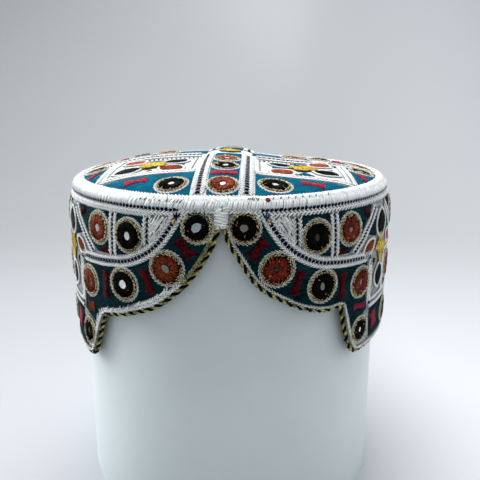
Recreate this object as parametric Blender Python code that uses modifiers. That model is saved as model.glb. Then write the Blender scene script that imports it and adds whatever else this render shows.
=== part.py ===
"""A sindhi topi on a plain round stand.

The cap is a round embroidered cap with mirror work: a domed crown, a stiff side band with an arch cut
out over the forehead, a thick whip-stitched seam where the two meet, a twisted cord along the band's
lower edge, a bar tack at the top of the arch and small round mirrors held in thread rings.

Metres, +Z up. The origin is the centre of the stand's foot. The cap's front looks along -Y. A place on the
band is an azimuth in degrees from the front, positive towards +X, and a drop below the dashed ring line
that runs round the top of the band. A place on the crown is its plan position.
"""
import math

import bmesh
import bpy
from mathutils import Vector

MM = 0.001

# Driving dimensions
BAND_RADIUS = 92.0 * MM          # outside of the side band at its widest, for a head of 56 to 57 cm
BAND_CLOTH = 2.2 * MM            # quilted and embroidered cotton
BAND_TOP = 1.6 * MM              # the band's top edge above the dashed ring line
RING_HEIGHT = 171.0 * MM         # the dashed ring line above the table
SHOULDER_PULL = 0.03             # how far the band draws in at the ring line, as a share of its radius
SHOULDER_REACH = 6.4 * MM        # how fast that pull dies away downwards

CROWN_RADIUS = 87.9 * MM         # cut edge of the crown panel
CROWN_CLOTH = 2.0 * MM
CROWN_EDGE = 3.9 * MM            # top of the crown's edge above the ring line
CROWN_RISE = 10.9 * MM           # dome height over its edge
CROWN_POWER = 2.4                # flat in the middle, steep at the edge
STRIP_RISE = 2.8 * MM            # the two crossing strips are stuffed and stand proud
STRIP_HALF_WIDTH = 13.5 * MM
LEFT_PUFF = 0.6 * MM             # the crown is a little fuller on its left
RIGHT_DIP = 2.6 * MM             # and a little slack right of the middle
FRONT_FILL = 3.0 * MM            # towards the front the padding gives it a steep shoulder behind the seam

STAND_FOOT_RADIUS = 88.8 * MM
STAND_TOP_RADIUS = 85.4 * MM
STAND_WALL = 3.0 * MM
STAND_TOP = 2.2 * MM             # the stand's rim above the ring line, just under the crown
STAND_BEVEL = 1.2 * MM

CORD_RADIUS = 1.05 * MM
GAP = 0.3 * MM                   # clearance between pieces that touch
LEFT_SPREAD = 3.4                # degrees that the left lobe has swung outwards
LEFT_SAG = 3.2 * MM              # and how far it hangs lower

# Centre line of the edge cord, from the top of the arch down its two sides and round to the back:
# right azimuth (degrees), right drop (mm), left azimuth (degrees), left drop (mm)
EDGE_LINE = (
    (0.0, 5.2, 0.0, 5.2),
    (0.9, 6.9, 0.9, 6.9),
    (2.1, 13.0, 2.3, 13.5),
    (4.0, 17.8, 4.3, 19.2),
    (6.2, 23.5, 6.6, 25.0),
    (9.1, 30.8, 10.0, 32.2),
    (13.0, 36.6, 13.8, 37.8),
    (17.5, 40.8, 19.8, 45.1),
    (22.5, 45.2, 27.6, 50.2),
    (28.8, 48.6, 32.5, 52.9),
    (33.5, 49.6, 35.8, 54.2),
    (38.0, 49.5, 40.2, 56.2),
    (39.3, 53.6, 42.4, 60.5),
    (40.5, 60.6, 44.3, 66.2),
    (42.0, 67.8, 45.9, 71.8),
    (43.6, 73.6, 47.8, 78.0),
    (46.3, 77.8, 50.5, 83.3),
    (50.0, 78.7, 55.0, 85.0),
    (62.0, 78.5, 66.0, 84.0),
    (90.0, 77.9, 97.0, 80.5),
    (135.0, 77.4, 135.0, 77.6),
    (180.0, 77.3, 180.0, 77.3),
)
ARCH_END = 18                    # the row after which the edge runs level to the back

# Mirrors on the band, right side; the left side is their reflection:
# name, thread colour, azimuth (degrees), drop (mm), ring radius (mm)
BAND_MIRRORS = (
    ("arch_top", "black", 6.5, 5.9, 7.6),
    ("arch_side", "rust", 15.5, 25.2, 8.8),
    ("arch_low", "black", 30.2, 36.2, 8.8),
    ("lobe_top", "rust", 46.8, 40.0, 8.6),
    ("lobe_tip", "black", 48.0, 66.2, 7.6),
    ("panel_front", "black", 27.8, 12.2, 8.7),
    ("panel_back", "rust", 40.6, 11.3, 8.5),
    ("side_top", "rust", 76.4, 11.3, 8.5),
    ("side_middle", "rust", 70.2, 40.0, 8.6),
    ("side_low", "black", 69.8, 66.2, 7.6),
)

# Mirrors on one arm of the crown's cross, and the pair beside each arm:
# name, thread colour, distance across the arm (mm), distance from the middle (mm), ring radius (mm)
ARM_MIRRORS = (
    ("inner", "rust", 0.0, 36.5, 7.2),
    ("middle", "black", 0.0, 52.3, 7.2),
    ("outer", "rust", 0.0, 75.5, 7.9),
    ("beside_left", "black", -24.0, 71.3, 8.2),
    ("beside_right", "black", 24.0, 70.0, 8.4),
)
# The pair beside the left and right arms is smaller and sits nearer the seam:
# distance across the arm (mm), distance from the middle (mm), ring radius (mm)
SIDE_ARM_PAIR = (20.5, 73.0, 7.0)
ARMS = (("front", 0), ("right", 90), ("back", 180), ("left", 270))

# Name: colour, roughness, metallic
FINISHES = {
    "stand": ((0.72, 0.75, 0.79), 0.55, 0.0),
    "band": ((0.03, 0.16, 0.20), 0.90, 0.0),
    "crown": ((0.02, 0.22, 0.36), 0.88, 0.0),
    "seam": ((0.80, 0.81, 0.80), 0.85, 0.0),
    "cord": ((0.33, 0.33, 0.08), 0.55, 0.3),
    "tack": ((0.80, 0.81, 0.78), 0.85, 0.0),
    "black": ((0.02, 0.02, 0.015), 0.80, 0.0),
    "rust": ((0.42, 0.09, 0.03), 0.80, 0.0),
}

MIRROR_RELIEF = 1.5 * MM         # crest of a mirror's thread ring over the cloth
MIRROR_EYE = 2.1 * MM            # radius of the glass that shows
MIRROR_EYE_DEPTH = 0.9 * MM      # height of the glass over the cloth
MIRROR_SIDES = 10

TACK_SIZE = (6.0 * MM, 2.4 * MM, 7.0 * MM)
TACK_DROP = 2.6 * MM             # middle of the bar tack below the ring line

CROWN_RINGS = 11
CROWN_SIDES = 64
TURNED_SIDES = 64
BAND_ROWS = 5
ARCH_STEP = 3.5 * MM
LEVEL_STEP = 9.0 * MM


def clear_scene():
    for thing in list(bpy.data.objects):
        bpy.data.objects.remove(thing, do_unlink=True)


def ease(low, high, value):
    t = min(1.0, max(0.0, (value - low) / (high - low)))
    return t * t * (3.0 - 2.0 * t)


def band_radius(drop):
    """Outside radius of the side band at a drop below the ring line."""
    return BAND_RADIUS * (1.0 - SHOULDER_PULL * math.exp(-drop / SHOULDER_REACH))


def band_point(azimuth, drop, lift=0.0):
    """A point over the band's outside; the azimuth is in degrees."""
    turn = math.radians(azimuth)
    radius = band_radius(drop) + lift
    return Vector((radius * math.sin(turn), -radius * math.cos(turn), RING_HEIGHT - drop))


def left_side(azimuth, drop):
    """Reflects a place on the right of the band to the left, where the lobe hangs lower and wider."""
    hang = (drop / (0.75 * BAND_RADIUS)) ** 3 * ease(20, 45, azimuth) * (1.0 - ease(62, 95, azimuth))
    return -(azimuth + LEFT_SPREAD * hang), drop + LEFT_SAG * hang


def crown_height(x, y):
    """Height of the crown's outside over the ring line."""
    share = min(1.0, math.hypot(x, y) / CROWN_RADIUS)
    fade = 1.0 - share ** 3
    height = CROWN_EDGE + CROWN_RISE * (1.0 - share ** CROWN_POWER)
    strips = max(math.exp(-(x / STRIP_HALF_WIDTH) ** 4), 0.7 * math.exp(-(y / STRIP_HALF_WIDTH) ** 4))
    puff = LEFT_PUFF * math.exp(-((x / BAND_RADIUS + 0.6) / 0.35) ** 2)
    dip = RIGHT_DIP * math.exp(-((x / BAND_RADIUS - 0.4) / 0.3) ** 2)
    forward = ease(-0.2, 1.0, -y / max(math.hypot(x, y), 0.1 * MM))
    fill = FRONT_FILL * forward * share * (1.0 - share ** 9)
    return height + fade * (STRIP_RISE * strips + puff - dip) + fill


def crown_point(x, y, lift=0.0):
    return Vector((x, y, RING_HEIGHT + crown_height(x, y) + lift))


def smooth_line(points, step):
    """Points a step apart on a Catmull-Rom curve through the given points."""
    line = [points[0]]
    ends = [2 * points[0] - points[1]] + points + [2 * points[-1] - points[-2]]
    for a, b, c, d in zip(ends, ends[1:], ends[2:], ends[3:]):
        count = max(1, round((c - b).length / step))
        for i in range(1, count + 1):
            t = i / count
            line.append(0.5 * (2 * b + (c - a) * t + (2 * a - 5 * b + 4 * c - d) * t * t
                               + (3 * b - a - 3 * c + d) * t ** 3))
    return line


def edge_side(side):
    """The edge cord's centre line on one side, unrolled flat: distance round the band, drop."""
    column = 0 if side > 0 else 2
    flat = [Vector((math.radians(row[column]) * BAND_RADIUS, row[column + 1] * MM)) for row in EDGE_LINE]
    return smooth_line(flat[:ARCH_END], ARCH_STEP)[:-1] + smooth_line(flat[ARCH_END - 1:], LEVEL_STEP)


def edge_loop(inset=0.0):
    """The whole edge, unrolled flat and moved into the cloth by the inset: list of azimuth, drop."""
    loop = []
    for side in (1, -1):
        line = edge_side(side)
        moved = []
        for i, point in enumerate(line):
            along = (line[min(i + 1, len(line) - 1)] - line[max(i - 1, 0)]).normalized()
            if i == 0:
                along = Vector((1.0, 0.0))
            place = point + inset * Vector((along.y, -along.x))
            moved.append((side * math.degrees(place.x / BAND_RADIUS), place.y))
        loop.append(moved)
    right, left = loop
    return right[:-1] + left[:0:-1]


def new_object(name, mesh_or_curve, finish, collection):
    thing = bpy.data.objects.new(name, mesh_or_curve)
    collection.objects.link(thing)
    thing.data.materials.append(finish)
    return thing


def mesh_object(name, bm, finish, collection):
    mesh = bpy.data.meshes.new(name)
    bm.to_mesh(mesh)
    bm.free()
    mesh.shade_smooth()
    mesh.set_sharp_from_angle(angle=math.radians(50))
    return new_object(name, mesh, finish, collection)


def make_finishes():
    finishes = {}
    for name, (colour, roughness, metallic) in FINISHES.items():
        finish = bpy.data.materials.new(name)
        finish.use_nodes = True
        shader = finish.node_tree.nodes["Principled BSDF"]
        shader.inputs["Base Color"].default_value = (*colour, 1.0)
        shader.inputs["Roughness"].default_value = roughness
        shader.inputs["Metallic"].default_value = metallic
        finishes[name] = finish
    return finishes


def turned(name, profile, finish, collection):
    """A ring from a closed profile of radius and height, running down its outer side."""
    bm = bmesh.new()
    corners = [bm.verts.new((radius, 0.0, height)) for radius, height in profile]
    for a, b in zip(corners, corners[1:] + corners[:1]):
        bm.edges.new((a, b))
    ring = mesh_object(name, bm, finish, collection)
    screw = ring.modifiers.new("turn", "SCREW")
    screw.axis = "Z"
    screw.angle = math.tau
    screw.steps = TURNED_SIDES
    screw.render_steps = TURNED_SIDES
    screw.use_merge_vertices = True
    screw.merge_threshold = 0.00001
    screw.use_smooth_shade = True
    return ring


def make_stand(finish, collection):
    """A plain open tube, a little wider at its foot."""
    top = RING_HEIGHT + STAND_TOP
    profile = (
        (STAND_TOP_RADIUS - STAND_BEVEL, top),
        (STAND_TOP_RADIUS, top - STAND_BEVEL),
        (STAND_FOOT_RADIUS, 0.0),
        (STAND_FOOT_RADIUS - STAND_WALL, 0.0),
        (STAND_TOP_RADIUS - STAND_WALL, top),
    )
    return turned("stand", profile, finish, collection)


def make_band(finish, collection):
    """The side band: a sheet between its top edge and the arched lower edge, thickened inwards."""
    bottom = edge_loop(inset=CORD_RADIUS + GAP)
    columns = len(bottom)
    bm = bmesh.new()
    bmesh.ops.create_grid(bm, x_segments=columns, y_segments=BAND_ROWS, size=1.0)
    for vert in bm.verts:
        column = round((vert.co.x + 1.0) / 2.0 * columns) % columns
        share = (vert.co.y + 1.0) / 2.0
        azimuth, drop = bottom[column]
        vert.co = band_point(azimuth, drop + (-BAND_TOP - drop) * share)
    bmesh.ops.remove_doubles(bm, verts=bm.verts, dist=0.00001)
    bmesh.ops.recalc_face_normals(bm, faces=bm.faces)
    face = max(bm.faces, key=lambda f: f.calc_center_median().y)
    if face.normal.y < 0:
        bmesh.ops.reverse_faces(bm, faces=bm.faces)
    band = mesh_object("side_band", bm, finish, collection)
    thicken(band, BAND_CLOTH)
    return band


def thicken(sheet, thickness):
    wall = sheet.modifiers.new("cloth", "SOLIDIFY")
    wall.thickness = thickness
    wall.offset = -1.0
    wall.use_even_offset = True


def make_crown(finish, collection):
    """The crown panel: a disc spun from one radius, raised to its dome and thickened downwards."""
    bm = bmesh.new()
    spokes = [bm.verts.new((CROWN_RADIUS * (i / CROWN_RINGS) ** 0.8, 0.0, 0.0)) for i in range(CROWN_RINGS + 1)]
    edges = [bm.edges.new(pair) for pair in zip(spokes, spokes[1:])]
    bmesh.ops.spin(bm, geom=spokes + edges, cent=(0, 0, 0), axis=(0, 0, 1), angle=math.tau,
                   steps=CROWN_SIDES, use_merge=True)
    bmesh.ops.remove_doubles(bm, verts=bm.verts, dist=0.00001)
    for vert in bm.verts:
        vert.co = crown_point(vert.co.x, vert.co.y)
    bmesh.ops.recalc_face_normals(bm, faces=bm.faces)
    if bm.faces[:][0].normal.z < 0:
        bmesh.ops.reverse_faces(bm, faces=bm.faces)
    crown = mesh_object("crown", bm, finish, collection)
    thicken(crown, CROWN_CLOTH)
    return crown


def make_seam(finish, collection):
    """The thick whip-stitched seam: a ridge over the crown's edge and the band's top edge."""
    foot = band_radius(-2.1 * MM) + GAP + 0.15 * MM
    over = 84.4 * MM
    lip = crown_height(0.0, -over) + GAP + 0.15 * MM
    profile = (
        (over, lip + 0.9 * MM),
        (over + 2.2 * MM, 6.9 * MM),
        (foot + 0.3 * MM, 6.0 * MM),
        (foot + 1.4 * MM, 4.6 * MM),
        (foot + 1.4 * MM, 3.2 * MM),
        (foot + 0.9 * MM, 2.1 * MM),
        (foot, 2.1 * MM),
        (foot, 4.1 * MM),
        (CROWN_RADIUS, 4.6 * MM),
        (over, lip),
    )
    lifted = [(radius, RING_HEIGHT + height) for radius, height in profile]
    return turned("crown_seam", lifted, finish, collection)


def make_cord(finish, collection):
    """The twisted cord whipped to the band's lower edge, one closed loop."""
    curve = bpy.data.curves.new("edge_cord", "CURVE")
    curve.dimensions = "3D"
    curve.bevel_depth = CORD_RADIUS
    curve.bevel_resolution = 1
    curve.resolution_u = 1
    loop = edge_loop()
    spline = curve.splines.new("POLY")
    spline.points.add(len(loop) - 1)
    for point, (azimuth, drop) in zip(spline.points, loop):
        point.co = (*band_point(azimuth, drop, -BAND_CLOTH / 2), 1.0)
    spline.use_cyclic_u = True
    return new_object("edge_cord", curve, finish, collection)


def make_tack(finish, collection):
    """The wrapped bar tack that closes the top of the arch."""
    width, depth, height = TACK_SIZE
    bm = bmesh.new()
    bmesh.ops.create_cube(bm, size=1.0)
    bmesh.ops.scale(bm, vec=TACK_SIZE, verts=bm.verts)
    bmesh.ops.bevel(bm, geom=bm.edges, offset=0.8 * MM, segments=2, profile=0.5, affect="EDGES", material=-1)
    reach = band_radius(TACK_DROP + height / 2) + GAP + depth / 2
    bmesh.ops.translate(bm, vec=(0.0, -reach, RING_HEIGHT - TACK_DROP), verts=bm.verts)
    return mesh_object("bar_tack", bm, finish, collection)


def mirror_disc(radius, place):
    """A mirror in its thread ring, turned flat and then laid on the cloth by the place function."""
    profile = ((0.0, 0.0), (radius, 0.0), (0.72 * radius, MIRROR_RELIEF),
               (MIRROR_EYE, MIRROR_EYE_DEPTH), (0.0, MIRROR_EYE_DEPTH))
    bm = bmesh.new()
    corners = [bm.verts.new((r, 0.0, h)) for r, h in profile]
    edges = [bm.edges.new(pair) for pair in zip(corners, corners[1:])]
    bmesh.ops.spin(bm, geom=corners + edges, cent=(0, 0, 0), axis=(0, 0, 1), angle=math.tau,
                   steps=MIRROR_SIDES, use_merge=True)
    bmesh.ops.remove_doubles(bm, verts=bm.verts, dist=0.00001)
    bmesh.ops.recalc_face_normals(bm, faces=bm.faces)
    for vert in bm.verts:
        vert.co = place(vert.co.x, vert.co.y, GAP + vert.co.z)
    return bm


def make_mirrors(finishes, collection):
    for name, thread, azimuth, drop, radius in BAND_MIRRORS:
        for side in ("right", "left"):
            at = (azimuth, drop * MM) if side == "right" else left_side(azimuth, drop * MM)

            def on_band(u, v, lift, at=at):
                return band_point(at[0] + math.degrees(u / BAND_RADIUS), at[1] - v, lift)

            bm = mirror_disc(radius * MM, on_band)
            mesh_object(f"mirror_{name}_{side}", bm, finishes[thread], collection)

    for arm, turn in ARMS:
        out = Vector((math.sin(math.radians(turn)), -math.cos(math.radians(turn))))
        across = Vector((-out.y, out.x))
        for name, thread, side, far, radius in ARM_MIRRORS:
            if side and arm in ("left", "right"):
                side, far, radius = math.copysign(SIDE_ARM_PAIR[0], side), SIDE_ARM_PAIR[1], SIDE_ARM_PAIR[2]
            middle = across * side * MM + out * far * MM

            def on_crown(u, v, lift, middle=middle):
                return crown_point(middle.x + u, middle.y + v, lift)

            bm = mirror_disc(radius * MM, on_crown)
            mesh_object(f"mirror_crown_{arm}_{name}", bm, finishes[thread], collection)


def main():
    clear_scene()
    collection = bpy.data.collections.new("sindhi_topi")
    bpy.context.scene.collection.children.link(collection)
    finishes = make_finishes()
    make_stand(finishes["stand"], collection)
    make_band(finishes["band"], collection)
    make_crown(finishes["crown"], collection)
    make_seam(finishes["seam"], collection)
    make_cord(finishes["cord"], collection)
    make_tack(finishes["tack"], collection)
    make_mirrors(finishes, collection)


main()
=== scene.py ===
import math
import random

import bmesh
import bpy
from mathutils import Matrix, Vector


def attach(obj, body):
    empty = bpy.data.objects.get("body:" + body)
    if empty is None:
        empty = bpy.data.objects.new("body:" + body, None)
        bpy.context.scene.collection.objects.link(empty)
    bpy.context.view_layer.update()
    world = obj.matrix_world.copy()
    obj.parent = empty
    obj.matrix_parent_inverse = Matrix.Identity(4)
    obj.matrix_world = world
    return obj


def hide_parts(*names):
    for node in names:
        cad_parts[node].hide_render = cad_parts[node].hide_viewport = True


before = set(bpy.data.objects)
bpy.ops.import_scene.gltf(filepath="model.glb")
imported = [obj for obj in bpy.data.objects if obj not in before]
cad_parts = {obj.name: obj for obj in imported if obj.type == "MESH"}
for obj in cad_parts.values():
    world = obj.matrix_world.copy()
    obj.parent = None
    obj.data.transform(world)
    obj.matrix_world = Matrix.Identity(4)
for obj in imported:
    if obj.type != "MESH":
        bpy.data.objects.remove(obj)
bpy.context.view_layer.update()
random.seed(11)
mm = 0.001

# the cap's form in mm and degrees, the same numbers as the part's source
capForm = {
    "bandRadius": 92.0,
    "bandCloth": 2.2,
    "bandTop": 1.6,
    "ringHeight": 171.0,
    "shoulderPull": 0.03,
    "shoulderReach": 6.4,
    "crownRadius": 87.9,
    "crownCloth": 2.0,
    "crownEdge": 3.9,
    "crownRise": 10.9,
    "crownPower": 2.4,
    "stripRise": 2.8,
    "stripHalfWidth": 13.5,
    "leftPuff": 0.6,
    "rightDip": 2.6,
    "frontFill": 3.0,
    "leftSpread": 3.4,
    "leftSag": 3.2,
    "cordRadius": 1.05,
}
perDegree = math.radians(capForm["bandRadius"])   # mm round the band for one degree

# centre line of the edge cord: right azimuth, right drop, left azimuth, left drop
edgeLine = (
    (0.0, 5.2, 0.0, 5.2), (0.9, 6.9, 0.9, 6.9), (2.1, 13.0, 2.3, 13.5), (4.0, 17.8, 4.3, 19.2),
    (6.2, 23.5, 6.6, 25.0), (9.1, 30.8, 10.0, 32.2), (13.0, 36.6, 13.8, 37.8), (17.5, 40.8, 19.8, 45.1),
    (22.5, 45.2, 27.6, 50.2), (28.8, 48.6, 32.5, 52.9), (33.5, 49.6, 35.8, 54.2), (38.0, 49.5, 40.2, 56.2),
    (39.3, 53.6, 42.4, 60.5), (40.5, 60.6, 44.3, 66.2), (42.0, 67.8, 45.9, 71.8), (43.6, 73.6, 47.8, 78.0),
    (46.3, 77.8, 50.5, 83.3), (50.0, 78.7, 55.0, 85.0), (62.0, 78.5, 66.0, 84.0), (90.0, 77.9, 97.0, 80.5),
    (135.0, 77.4, 135.0, 77.6), (180.0, 77.3, 180.0, 77.3),
)
archRows = 18   # the rows of the arch and the lobe; after them the edge runs level to the back


def ease(low, high, value):
    # 0 up to low, 1 from high on, smooth between them
    t = min(1.0, max(0.0, (value - low) / (high - low)))
    return t * t * (3.0 - 2.0 * t)


def bandRadius(drop):
    return capForm["bandRadius"] * (1.0 - capForm["shoulderPull"] * math.exp(-drop / capForm["shoulderReach"]))


def bandPoint(azimuth, drop, lift=0.0):
    # azimuth is 0 in front and grows to the right, drop is mm under the ring line, lift mm off the cloth
    turn = math.radians(azimuth)
    radius = bandRadius(drop) + lift
    return Vector((radius * math.sin(turn), -radius * math.cos(turn), capForm["ringHeight"] - drop)) * mm


def leftHang(azimuth, drop):
    # how much of the left lobe's sag and spread a place has
    return (max(0.0, drop / (0.75 * capForm["bandRadius"])) ** 3 * ease(20, 45, azimuth)
            * (1.0 - ease(62, 95, azimuth)))


# a place on the cloth is x and y in mm on the unrolled surface, and a lift in mm off it
def rightWall(x, y, lift):
    return bandPoint(x / perDegree, y, lift)


def leftWall(x, y, lift):
    azimuth = x / perDegree
    hang = leftHang(azimuth, y)
    return bandPoint(-(azimuth + capForm["leftSpread"] * hang), y + capForm["leftSag"] * hang, lift)


def plainLeft(x, y, lift):   # the left side with no sag, for lines that follow the left edge itself
    return bandPoint(-x / perDegree, y, lift)


def hungPoints(side, points):
    # right places moved to where the left lobe hangs, to be used with plainLeft
    if side == "right":
        return points
    sag = Vector((capForm["leftSpread"] * perDegree, capForm["leftSag"]))
    return [p + sag * leftHang(p.x / perDegree, p.y) for p in points]


def crownHeight(x, y):
    # the dome, with the raised strips of the two arms, a puff on its left, a dip on its right and a full front
    share = min(1.0, math.hypot(x, y) / capForm["crownRadius"])
    fade = 1.0 - share ** 3
    height = capForm["crownEdge"] + capForm["crownRise"] * (1.0 - share ** capForm["crownPower"])
    half = capForm["stripHalfWidth"]
    strips = max(math.exp(-(x / half) ** 4), 0.7 * math.exp(-(y / half) ** 4))
    puff = capForm["leftPuff"] * math.exp(-((x / capForm["bandRadius"] + 0.6) / 0.35) ** 2)
    dip = capForm["rightDip"] * math.exp(-((x / capForm["bandRadius"] - 0.4) / 0.3) ** 2)
    forward = ease(-0.2, 1.0, -y / max(math.hypot(x, y), 0.1))
    fill = capForm["frontFill"] * forward * share * (1.0 - share ** 9)
    return height + fade * (capForm["stripRise"] * strips + puff - dip) + fill


def crownArm(turn):
    c, s = math.cos(math.radians(turn)), math.sin(math.radians(turn))

    def place(x, y, lift):   # x across the arm, y from the middle of the crown outwards
        px, py = x * c + y * s, x * s - y * c
        return Vector((px, py, capForm["ringHeight"] + crownHeight(px, py) + lift)) * mm
    return place


crownArms = {"front": crownArm(0), "right": crownArm(90), "back": crownArm(180), "left": crownArm(270)}
walls = {"right": rightWall, "left": leftWall}
plainWalls = {"right": rightWall, "left": plainLeft}


def smoothLine(points, step):
    # a smooth curve through the points, with a point about every step
    points = [Vector(p) for p in points]
    line = [points[0]]
    ends = [2 * points[0] - points[1]] + points + [2 * points[-1] - points[-2]]
    for a, b, c, d in zip(ends, ends[1:], ends[2:], ends[3:]):
        count = max(1, round((c - b).length / step))
        for i in range(1, count + 1):
            t = i / count
            line.append(0.5 * (2 * b + (c - a) * t + (2 * a - 5 * b + 4 * c - d) * t * t
                               + (3 * b - a - 3 * c + d) * t ** 3))
    return line


def flatPath(points, step):
    # azimuth and drop to a smooth flat path
    return smoothLine(degrees(points), step)


def degrees(points):
    # azimuth and drop to flat places
    return [(a * perDegree, d) for a, d in points]


def straight(points, step):
    # flat places to a path of straight runs
    line = []
    corners = [Vector(p) for p in points]
    for a, b in zip(corners, corners[1:]):
        count = max(1, round((b - a).length / step))
        line += [a.lerp(b, i / count) for i in range(count)]
    return line + [corners[-1]]


def ringPath(x, y, radius, sides=40):
    return [Vector((x + radius * math.cos(i * math.tau / sides), y + radius * math.sin(i * math.tau / sides)))
            for i in range(sides + 1)]


def leafPath(x, y, angle, halfLength, halfWidth, sides=32):
    # the outline of a petal, full in the middle and pointed at both ends
    leaf = []
    for i in range(sides + 1):
        turn = i * math.tau / sides
        u, v = halfLength * math.cos(turn), halfWidth * math.sin(turn) * abs(math.sin(turn)) ** 0.5
        leaf.append(Vector((x + u * math.cos(angle) - v * math.sin(angle),
                            y + u * math.sin(angle) + v * math.cos(angle))))
    return leaf


def heading(path, i):
    return (path[min(i + 1, len(path) - 1)] - path[max(i - 1, 0)]).normalized()


def beside(path, offset):
    # the path moved sideways
    moved = []
    for i, point in enumerate(path):
        along = heading(path, i)
        moved.append(point + offset * Vector((-along.y, along.x)))
    return moved


def edgeSide(side):
    # the lower edge on one side, from the middle of the front to the middle of the back
    column = 0 if side == "right" else 2
    flat = [Vector((row[column] * perDegree, row[column + 1])) for row in edgeLine]
    return smoothLine(flat[:archRows], 1.6)[:-1] + smoothLine(flat[archRows - 1:], 3.0)


def edgeInset(side, inset, first=0.0, last=180.0):
    # the edge moved into the cloth between two azimuths; on the left these are plainLeft places
    line = edgeSide(side)
    moved = []
    for i, point in enumerate(line):
        along = heading(line, i) if i else Vector((1.0, 0.0))
        width = inset(point.x / perDegree) if callable(inset) else inset
        place = point + width * Vector((along.y, -along.x))
        if first * perDegree <= place.x <= last * perDegree:
            moved.append(place)
    return moved


def evenly(path, count, start):
    # places at an even distance from each other along a path, each with the run of the path there
    total = sum((b - a).length for a, b in zip(path, path[1:]))
    spots, travelled, i = [], 0.0, 0
    for k in range(count):
        wanted = (k + start) / count * total
        while i < len(path) - 2 and travelled + (path[i + 1] - path[i]).length < wanted:
            travelled += (path[i + 1] - path[i]).length
            i += 1
        run = path[i + 1] - path[i]
        spots.append((path[i] + run * ((wanted - travelled) / max(run.length, 1e-9)), run))
    return spots


def walk(path, pitch):
    # places at about this pitch along a flat path: x, y, angle
    total = sum((b - a).length for a, b in zip(path, path[1:]))
    spots = evenly(path, max(1, round(total / pitch)), 0.5)
    return [(point.x, point.y, math.atan2(run.y, run.x)) for point, run in spots]


def makeStitch(sides, bands, slot):
    # one stitch along X: a small ball with blunt ends, its UV the height of the thread and the way along it; the height
    # sets the thread's painted shade
    bm = bmesh.new()
    bm.loops.layers.uv.new("thread")
    bmesh.ops.create_uvsphere(bm, u_segments=sides, v_segments=bands, radius=0.5, calc_uvs=True)
    bmesh.ops.rotate(bm, verts=bm.verts, matrix=Matrix.Rotation(math.pi / 2, 3, "Y"))
    for vert in bm.verts:
        if abs(vert.co.x) < 0.49:
            vert.co.x *= 1.45 if bands == 3 else 1.28
    uv = bm.loops.layers.uv.active
    for face in bm.faces:
        face.smooth = True
        face.material_index = slot
        for loop in face.loops:
            loop[uv].uv = (loop.vert.co.z + 0.5, loop.vert.co.x + 0.5)
    return restingMesh("stitch", bm)


def restingMesh(name, bm):
    # a mesh to lay down many times, with its places at rest
    mesh = bpy.data.meshes.new(name)
    bm.to_mesh(mesh)
    bm.free()
    return mesh, [c for v in mesh.vertices for c in v.co]


stitches = {}


def stitch(sides, bands, slot):
    key = (sides, bands, slot)
    if key not in stitches:
        stitches[key] = makeStitch(*key)
    return stitches[key]


def layThread(bm, thread, place, x, y, lift, angle, length, width, height):
    # a copy of the stitch laid on the cloth at x and y, turned by the angle there; sizes in mm
    mesh, rest = thread
    c, s = math.cos(angle), math.sin(angle)
    middle = place(x, y, lift)
    along = (place(x + 0.3 * c, y + 0.3 * s, lift) - place(x - 0.3 * c, y - 0.3 * s, lift)).normalized()
    side = place(x - 0.3 * s, y + 0.3 * c, lift) - middle
    out = along.cross(side).normalized()
    if out.dot(place(x, y, lift + 1.0) - middle) < 0:
        out = -out
    across = out.cross(along)
    matrix = Matrix((along * length * mm, across * width * mm, out * height * mm)).transposed().to_4x4()
    matrix.translation = middle
    mesh.vertices.foreach_set("co", rest)
    mesh.transform(matrix)
    bm.from_mesh(mesh)


def braid(bm, place, path, width, pitch=1.75, lift=0.35, slot=0, loose=0.1, height=1.1, slant=0.5, reach=1.5,
          thick=0.48):
    # a flat plait: two rows of slanted stitches meeting along the line
    thread = stitch(6, 3, slot)
    for x, y, angle in walk(path, pitch):
        for hand in (1, -1):
            jitter = random.uniform(-loose, loose)
            dx, dy = -math.sin(angle) * hand, math.cos(angle) * hand
            off = width * 0.24 + jitter * 0.4
            shift = pitch * 0.25 * hand
            layThread(bm, thread, place, x + dx * off + math.cos(angle) * shift,
                      y + dy * off + math.sin(angle) * shift, lift + jitter * 0.5, angle - hand * (slant + jitter),
                      pitch * reach, width * thick, height)


def dashes(bm, place, path, length=1.5, gap=0.35, width=1.6, lift=0.3, height=0.8, cross=0.64, lean=0.0):
    # dark blocks with a thin white thread across each gap
    thread, tie = stitch(6, 4, 0), stitch(5, 3, 1)
    for x, y, angle in walk(path, length + gap):
        layThread(bm, thread, place, x, y, lift, angle + random.uniform(-0.12, 0.12),
                  length * random.uniform(0.95, 1.12), width * random.uniform(0.9, 1.12), height)
        reach = (length + gap) / 2
        layThread(bm, tie, place, x + reach * math.cos(angle), y + reach * math.sin(angle), lift + 0.1,
                  angle + 1.57 + lean + random.uniform(-0.25, 0.25), width * 1.15, 0.3, cross)


def satin(bm, place, x, y, angle, halfLength, profile, lift=0.35, slot=0, slant=0.0, height=0.8, wide=1.35):
    # side-by-side stitches across a shape whose half width at t from -1 to 1 is the profile
    pitch = 0.62
    thread = stitch(5, 4, slot)
    count = max(2, round(2 * halfLength / pitch))
    for k in range(count):
        t = (k + 0.5) / count * 2 - 1
        half = profile(t)
        if half < 0.15:
            continue
        along = t * halfLength
        layThread(bm, thread, place, x + math.cos(angle) * along, y + math.sin(angle) * along,
                  lift + random.uniform(-0.05, 0.05), angle + math.pi / 2 + slant + random.uniform(-0.08, 0.08),
                  2 * half * random.uniform(1.0, 1.1), pitch * wide, height)


def leafProfile(halfWidth):
    return lambda t: halfWidth * (1.0 - t * t) ** 0.85


def boneProfile(halfWidth, waist):
    return lambda t: halfWidth * (waist + (1.0 - waist) * min(1.0, abs(t) * 1.25) ** 2)


def knot(bm, place, spots, lift, size, thread):
    # a few short stitches over each other: azimuth, drop and turn of each; size: length, width, height
    for azimuth, drop, turn in spots:
        layThread(bm, thread, place, azimuth * perDegree, drop, lift, turn, *size)


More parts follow.
